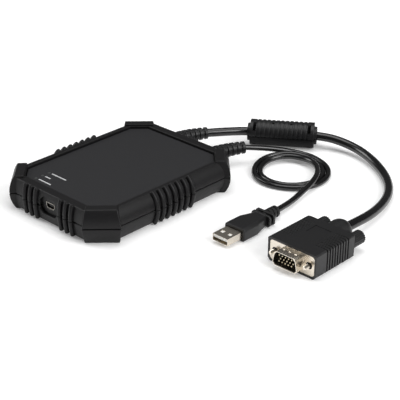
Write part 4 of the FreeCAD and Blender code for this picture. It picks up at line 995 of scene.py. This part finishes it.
bm = bmesh.new()
add_box(bm, CROWN_MIDDLE, CROWN)
soften(bm, 0.15, segments=2)
for x in (PLUG_X - JACK_OFFSET, PLUG_X + JACK_OFFSET):
    drill(bm, JACK_BORE, mm(x, -1, PLUG_AXIS), mm(x, HOOD_LENGTH + 1, PLUG_AXIS))
add_box(bm, (PLUG_X, FACE_DEPTH, PLUG_AXIS), SHROUD_ROOM)
combine(video_hood, as_solid(bm, "hood_cutters"), "DIFFERENCE")
finish_piece(video_hood, "plug_hood", "root", "video_plug_hood")

# %% [markdown]
# Stamped and drawn metal has small round edges too. For the plug shells, the port and the pins, a copy of the
# CAD mesh is merged into clean faces and gets a narrow bevel, which is quicker than modelling them again and
# keeps every size. The video plug's face also has wide screw holes, and three dimples that grip the socket.

# %% The video plug's face
CAD_SAME_PLACE = 0.005 * MM
FLAT_WITHIN = 2
FACE_HOLE = 2.2
FACE_REACH = 3.0
DIMPLES = (-4.3, 0.0, 4.3)
DIMPLE_RADIUS = 0.8
DIMPLE_PLACE = (-1.8, 12.5)


def rounded_copy(name, node, width):
    """A copy of a CAD node with its flat faces merged and its sharp edges rounded."""
    bm = bmesh.new()
    bm.from_mesh(frame["nodes"][node].data)
    bmesh.ops.remove_doubles(bm, verts=bm.verts, dist=CAD_SAME_PLACE)
    bmesh.ops.dissolve_limit(bm, angle_limit=math.radians(FLAT_WITHIN), verts=bm.verts, edges=bm.edges)
    soften(bm, width, segments=2)
    return as_solid(bm, name)


video_shell = rounded_copy("video_shell_drawn", "video_plug_shell", 0.12)
bm = bmesh.new()
for x in DIMPLES:
    place = Matrix.Translation(mm(PLUG_X + x, *DIMPLE_PLACE)) @ Matrix.Diagonal((1, 1, 0.5, 1))
    bmesh.ops.create_uvsphere(bm, u_segments=24, v_segments=12, radius=DIMPLE_RADIUS * MM, matrix=place)
combine(video_shell, as_solid(bm, "dimples"), "UNION")
bm = bmesh.new()
for x in (PLUG_X - JACK_OFFSET, PLUG_X + JACK_OFFSET):
    drill(bm, FACE_HOLE, mm(x, -FACE_REACH, PLUG_AXIS), mm(x, FACE_REACH, PLUG_AXIS))
combine(video_shell, as_solid(bm, "face_holes"), "DIFFERENCE")
finish_piece(video_shell, "nickel", "root", "video_plug_shell")

# %% Rounded copies of the other small pieces
COPIES = [
    ("video_insulator_block", "video_plug_insulator", "black_insulator", 0.05),
    ("video_pin_set", "video_plug_pins", "gold_contact", 0.12),
    ("usb_shell_folded", "usb_plug_shell", "nickel", 0.1),
    ("usb_tongue_block", "usb_plug_tongue", "white_insulator", 0.1),
    ("port_shell_folded", "port_shell", "nickel", 0.08),
    ("port_tongue_block", "port_insulator", "black_insulator", 0.06),
]
copies = {}
for name, node, slot, width in COPIES:
    copies[node] = finish_piece(rounded_copy(name, node, width), slot, "root", node)
# The pins' gold carries a painted highlight at the tips and painted shade further in.
copies["video_plug_pins"].data.materials[0] = pin_gold_with_painted_light()
copies["port_shell"].data.materials[0] = plain_finish("dull_nickel", (0.42, 0.4, 0.365), 0.33, metallic=1.0)

# %% [markdown]
# Two thumbscrews hold the video plug in its socket. Each has a steel shaft with a fine thread at its tip, and
# a fluted black knob behind the hood. The thread is a saw-tooth profile spun round, which looks the same as
# a helix at this size. The knob is a circle whose points dip in at each flute, drawn out and rounded.

# %% The thumbscrews
THREAD_RADIUS = 1.42
THREAD_DEPTH = 0.28
THREAD_PITCH = 0.64
THREAD_TURNS = 5
THREAD_TIP = -4.2
THREAD_LEAD = 0.3
THREAD_RUNOUT = 0.5
THREAD_CREST = (0.4, 0.6)
TIP_SHARE = 0.8
SHANK_RADIUS = 1.25
KNOB_RADIUS = 4.3
KNOB_FRONT = 36.4
KNOB_LENGTH = 11.2
KNOB_FLUTES = 18
POINTS_PER_FLUTE = 8
FLUTE_DEPTH = 0.3
KNOB_HOLD = 7.0


def screw_shaft(name, x, body, node):
    root = THREAD_RADIUS - THREAD_DEPTH
    profile = [(0, THREAD_TIP), (root * TIP_SHARE, THREAD_TIP)]
    for k in range(THREAD_TURNS):
        low = THREAD_TIP + THREAD_LEAD + THREAD_PITCH * k
        profile += [(root, low), *[(THREAD_RADIUS, low + THREAD_PITCH * share) for share in THREAD_CREST]]
    neck = THREAD_TIP + THREAD_RUNOUT + THREAD_PITCH * THREAD_TURNS
    end = KNOB_FRONT + KNOB_HOLD
    profile += [(SHANK_RADIUS, neck), (SHANK_RADIUS, end), (0, end)]
    bm = bmesh.new()
    spin_profile(bm, [mm(radius, along, 0) for radius, along in profile], (0, 1, 0), steps=32)
    bmesh.ops.translate(bm, verts=bm.verts, vec=mm(x, 0, PLUG_AXIS))
    return finish_piece(as_solid(bm, name), "nickel", body, node)


def screw_knob(name, x, body, node):
    bm = bmesh.new()
    bmesh.ops.create_circle(bm, segments=KNOB_FLUTES * POINTS_PER_FLUTE, radius=KNOB_RADIUS * MM,
                            cap_ends=True)
    for vert in bm.verts:
        turn = math.atan2(vert.co.y, vert.co.x)
        dip = max(0, math.cos(turn * KNOB_FLUTES)) * FLUTE_DEPTH
        vert.co *= (KNOB_RADIUS - dip) / KNOB_RADIUS
    drawn = bmesh.ops.extrude_face_region(bm, geom=list(bm.faces), use_keep_orig=True)["geom"]
    lifted = [item for item in drawn if isinstance(item, bmesh.types.BMVert)]
    bmesh.ops.translate(bm, verts=lifted, vec=mm(0, 0, KNOB_LENGTH))
    soften(bm, 1.0, segments=4, sharper_than=60)
    bmesh.ops.rotate(bm, cent=(0, 0, 0), matrix=Matrix.Rotation(math.radians(-90), 3, "X"),
                     verts=bm.verts)
    bmesh.ops.translate(bm, verts=bm.verts, vec=mm(x, KNOB_FRONT, PLUG_AXIS))
    return finish_piece(as_solid(bm, name), "plug_hood", body, node)


for side, offset in (("left", -JACK_OFFSET), ("right", JACK_OFFSET)):
    body = f"thumbscrew_{side}"
    screw_shaft(f"{side}_screw_shaft", PLUG_X + offset, body, f"{body}_shaft")
    screw_knob(f"{side}_screw_knob", PLUG_X + offset, body, f"{body}_knob")

# %% [markdown]
# The type A plug has a plain moulded grip that narrows towards the back, two flat wings for the fingers, and
# a ringed neck for the cord. The grip is a clipped rectangle carried along the plug, the wings are two short
# lofts, and the neck is spun. Joined together they are one moulding, as on the real plug.

# %% The type A plug's hood
USB_X = 93.0
USB_AXIS = 4.3
USB_CLIP = 1.2
GRIP_SECTIONS = [(5.0, 15.9, 8.6), (17.5, 15.9, 8.6), (23.0, 13.1, 7.9), (28.8, 10.4, 7.2)]
WINGS = [(28.5, 30.4), (32.3, 34.2)]
WING_SECTION = (15.0, 7.6)
NECK_RADIUS = 3.0
NECK_END = 43.2
NECK_RINGS = [35.4, 38.3, 41.2]
NECK_RING = (3.8, 1.7)
USB_FACE = (13.2, 1.2, 5.7)
USB_SOCKET = (12.04, 12.0, 4.54)


def usb_loop(y, wide, tall, clip=USB_CLIP):
    corner = octagon_loop(wide / 2, tall / 2, (wide + tall) / 2 - clip, 0)
    return [Vector((point.x + USB_X * MM, y * MM, point.y + USB_AXIS * MM)) for point in corner]


def usb_slab(sections, rounding):
    bm = bmesh.new()
    loft(bm, [usb_loop(*section) for section in sections])
    soften(bm, rounding, sharper_than=25)
    return as_solid(bm, "usb_slab")


def usb_neck():
    profile = [(0, WINGS[0][0]), (NECK_RADIUS, WINGS[0][0])]
    for start in NECK_RINGS:
        profile += [(NECK_RADIUS, start), (NECK_RING[0], start), (NECK_RING[0], start + NECK_RING[1]),
                    (NECK_RADIUS, start + NECK_RING[1])]
    profile += [(NECK_RADIUS, NECK_END), (0, NECK_END)]
    bm = bmesh.new()
    spin_profile(bm, [mm(radius, along, 0) for radius, along in profile], (0, 1, 0), steps=48)
    soften(bm, 0.3)
    bmesh.ops.translate(bm, verts=bm.verts, vec=mm(USB_X, 0, USB_AXIS))
    return as_solid(bm, "usb_neck")


usb_hood = usb_slab(GRIP_SECTIONS, 0.6)
usb_hood.name = "usb_hood_moulding"
for low, high in WINGS:
    combine(usb_hood, usb_slab([(low, *WING_SECTION), (high, *WING_SECTION)], 0.45), "UNION")
combine(usb_hood, usb_neck(), "UNION")
for name, sides in (("usb_face", USB_FACE), ("usb_socket", USB_SOCKET)):
    bm = bmesh.new()
    add_box(bm, (USB_X, GRIP_SECTIONS[0][0], USB_AXIS), sides)
    combine(usb_hood, as_solid(bm, name), "DIFFERENCE")
finish_piece(usb_hood, "plug_hood", "root", "usb_plug_hood")

# %% [markdown]
# Both cords are free.

print("cords laid")
